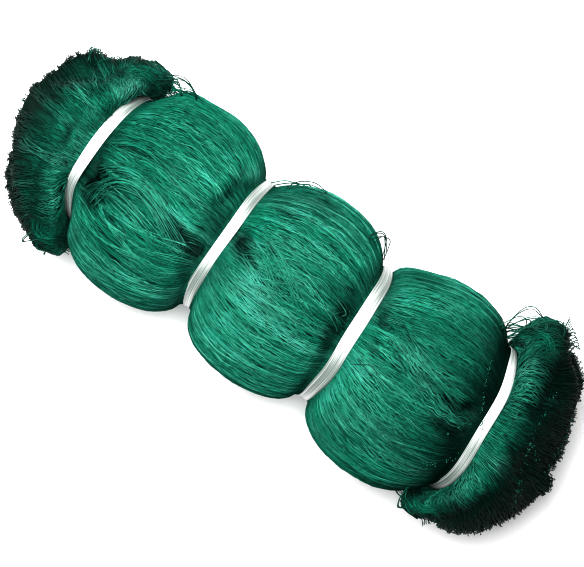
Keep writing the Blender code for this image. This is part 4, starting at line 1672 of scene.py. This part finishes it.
ribbons = {
    "around": 160,
    "across": 10,
    "gap": 0.0004,          # off the net
    "thickness": 0.0009,
    "body": (0.7, 0.3),     # share of the thickness at the edges, and how much more in the middle
    "edgeWaver": (9, 0.00035),      # waves of an edge, and their height
    "ridge": 0.00022,       # height of the lengthwise folds
    "ridges": 6,
    "ridgeHeights": (0.4, 1.0),
    "ridgeWidth": 0.16,     # half width of a fold, how far out its centre may be, and how it wanders,
    "ridgeReach": 0.9,      # as shares of the ribbon's half width
    "ridgeWander": (3, 0.12),
    # places of painted shade seen from above: y, half length, how strong
    "dullAndShaded": (((0.058, 0.022, 1.0), (-0.050, 0.020, 0.9)),
             ((0.046, 0.020, 0.9), (-0.048, 0.022, 1.0), (0.075, 0.010, 0.3)),
             ((0.052, 0.022, 0.9), (-0.048, 0.024, 1.0), (-0.072, 0.010, 0.3)),
             ((0.074, 0.010, 0.6), (-0.030, 0.018, 0.7), (-0.062, 0.016, 0.8))),
    # where it is gathered narrower: y, half length, how much
    "gathered": ((0.070, 0.014, 0.40), (0.074, 0.012, 0.15), (-0.090, 0.012, 0.15), (0.078, 0.018, 0.50)),
    "seed": 71,
}


def ribbonPiece(number):
    # A closed strip on the bound section: outer face with lengthwise ridges, plain inner face, edges
    # that waver; both faces share one ring of points, the outer half out and the inner half back
    look, tie = ribbons, ties[number]
    random = np.random.default_rng(look["seed"] + number)
    around, across = look["around"], look["across"]
    ring = np.arange(around) / around
    place = np.linspace(-1, 1, across)

    def loopWave(modes, height):
        order = np.arange(1, modes + 1)[:, None]
        tall = random.normal(0, 1, modes)[:, None] / order ** 0.5
        phase = random.uniform(0, 2 * math.pi, modes)[:, None]
        return height * (tall * np.sin(2 * math.pi * order * ring + phase)).sum(axis=0)

    section = reach(tie["sides"], 2 * math.pi * ring)
    gatheredAt, gatheredHalf, share = look["gathered"][number]
    gathered = share * bell(section[:, 0] + hank["centreAcross"] - gatheredAt, gatheredHalf)
    half = tie["width"] / 2 * (1 - gathered)
    low = tie["x"] - half + loopWave(*look["edgeWaver"])
    high = tie["x"] + half + loopWave(*look["edgeWaver"])
    x = low[:, None] + (high - low)[:, None] * (place + 1) / 2
    ridges = np.zeros((around, across))
    for _ in range(look["ridges"]):
        centre = random.uniform(-look["ridgeReach"], look["ridgeReach"]) + loopWave(*look["ridgeWander"])
        ridges += random.uniform(*look["ridgeHeights"]) * bell(place - centre[:, None], look["ridgeWidth"])
    least, more = look["body"]
    outer = look["gap"] + look["thickness"] * (least + more * (1 - place ** 4)) + look["ridge"] * ridges
    profile = np.concatenate([outer, np.full(outer.shape, look["gap"])], axis=1)
    section = section[:, None, :] + unit(section)[:, None, :] * profile[..., None]
    grid = np.stack([np.concatenate([x, x[:, ::-1]], axis=1), section[..., 0] + hank["centreAcross"],
                     section[..., 1] + hank["centreHeight"]], axis=-1)

    count = 2 * across
    index = np.arange(around * count).reshape(around, count)
    beside, ahead = np.roll(index, -1, axis=1), np.roll(index, -1, axis=0)
    quads = np.stack([index, ahead, np.roll(beside, -1, axis=0), beside], axis=-1)
    u = ring[:, None, None] + np.array([0, 1, 1, 0]) / around
    v = (np.arange(count) / count)[None, :, None] + np.array([0, 0, 1, 1]) / count
    uv = np.stack(np.broadcast_arrays(u, v), axis=-1).reshape(-1, 2)
    # Painted shade on the ribbon's grey places
    dullAndShaded = sum(amount * bell(grid[..., 1] - y, half) for y, half, amount in look["dullAndShaded"][number])
    piece = meshPiece(f"ribbon{number + 1}", grid.reshape(-1, 3), quads.ravel(), np.full(around * count, 4),
                      ribbonFilm, (f"tie_{number + 1}",), maps=[("OFBake", uv), ("run", uv)],
                      values=[("dullAndShaded", dullAndShaded)])
    length = float(np.linalg.norm(np.roll(section[:, 0], -1, axis=0) - section[:, 0], axis=-1).sum())
    print(f"ribbon {number + 1} is cut {tie['width'] * 1000:.1f} by {length * 1000:.0f} mm")


for number in range(4):
    ribbonPiece(number)
print("stage: ribbons tied")


# Floor, light and camera

studio = {
    "floor": (0.85, 0.85, 0.85, 1),
    "floorHalf": 40,
    "floorRoughness": 0.8,
    "floorGlow": 0.26,      # keeps the floor pale where the hank shades it
    "key": {"along": 0.45, "across": 0.60, "power": 20.0, "place": (-0.20, 0.10, 0.90),
            "aim": (-0.05, 0.0, 0.10)},
    "fill": {"strength": 1.8, "soft": 50, "from": (-0.30, 0.10, 1.0)},
    "sky": (1.0, 1.0, 1.0, 1),
    "zenith": 0.03,
    "horizon": 0.80,
    "horizonHeight": 0.45,  # sine of the height where the sky has darkened
    "camera": (-0.00105, 0.0004, 1.19),
    "cameraTurn": 35.5,
    "lens": 67.8,
    "clip": (0.05, 20),
    "filterWidth": 1.2,
    "gamma": 0.70,          # deepens the shadows and leaves the floor white
}


def floorPiece():
    half, colour = studio["floorHalf"], studio["floor"]
    mesh = bpy.data.meshes.new("floor")
    corners = [(-half, -half, 0), (half, -half, 0), (half, half, 0), (-half, half, 0)]
    mesh.from_pydata(corners, [], [(0, 1, 2, 3)])
    made = Finish("paleFloor", Base_Color=colour, Roughness=studio["floorRoughness"], Emission_Color=colour,
                  Emission_Strength=studio["floorGlow"])
    mesh.materials.append(made.material)
    floor = linked("floor", mesh)


def keyLight():
    # One long soft light over the hank's left half, its long side across the hank
    key = studio["key"]
    light = bpy.data.lights.new("key", "AREA")
    light.shape, light.energy = "RECTANGLE", key["power"]
    light.size, light.size_y = key["along"], key["across"]
    lamp = linked("key", light)
    back = Vector(key["place"]) - Vector(key["aim"])
    lamp.location = key["place"]
    lamp.rotation_euler = back.to_track_quat("Z", "Y").to_euler()


def fillLight():
    # A wide soft light from overhead that reaches the floor everywhere
    look = studio["fill"]
    light = bpy.data.lights.new("fill", "SUN")
    light.energy, light.angle = look["strength"], math.radians(look["soft"])
    lamp = linked("fill", light)
    lamp.rotation_euler = Vector(look["from"]).to_track_quat("Z", "Y").to_euler()


def sky():
    # Pale at the horizon, darker overhead: a straight line in the sine of the height, from the horizon's
    # strength to the zenith's at the horizon height
    world = bpy.data.worlds.new("studio")
    bpy.context.scene.world = world
    world.use_nodes = True
    tree = world.node_tree
    back = tree.nodes["Background"]
    back.inputs["Color"].default_value = studio["sky"]
    direction = tree.nodes.new("ShaderNodeTexCoord")
    parts = tree.nodes.new("ShaderNodeSeparateXYZ")
    tree.links.new(direction.outputs["Generated"], parts.inputs[0])
    height = (Wire(tree, parts.outputs[2]) / studio["horizonHeight"]).clipped()
    strength = studio["horizon"] + (studio["zenith"] - studio["horizon"]) * height
    tree.links.new(strength.socket, back.inputs["Strength"])


def camera():
    data = bpy.data.cameras.new("camera")
    data.lens = studio["lens"]
    data.clip_start, data.clip_end = studio["clip"]
    eye = linked("camera", data)
    eye.location = studio["camera"]
    eye.rotation_euler = (0, 0, math.radians(studio["cameraTurn"]))
    bpy.context.scene.camera = eye


floorPiece()
keyLight()
fillLight()
sky()
camera()
bpy.context.scene.view_settings.view_transform = "Standard"
bpy.context.scene.view_settings.gamma = studio["gamma"]
bpy.context.scene.cycles.denoising_prefilter = "NONE"      # keeps the fine strands crisp
bpy.context.scene.cycles.filter_width = studio["filterWidth"]
print("stage: studio set")
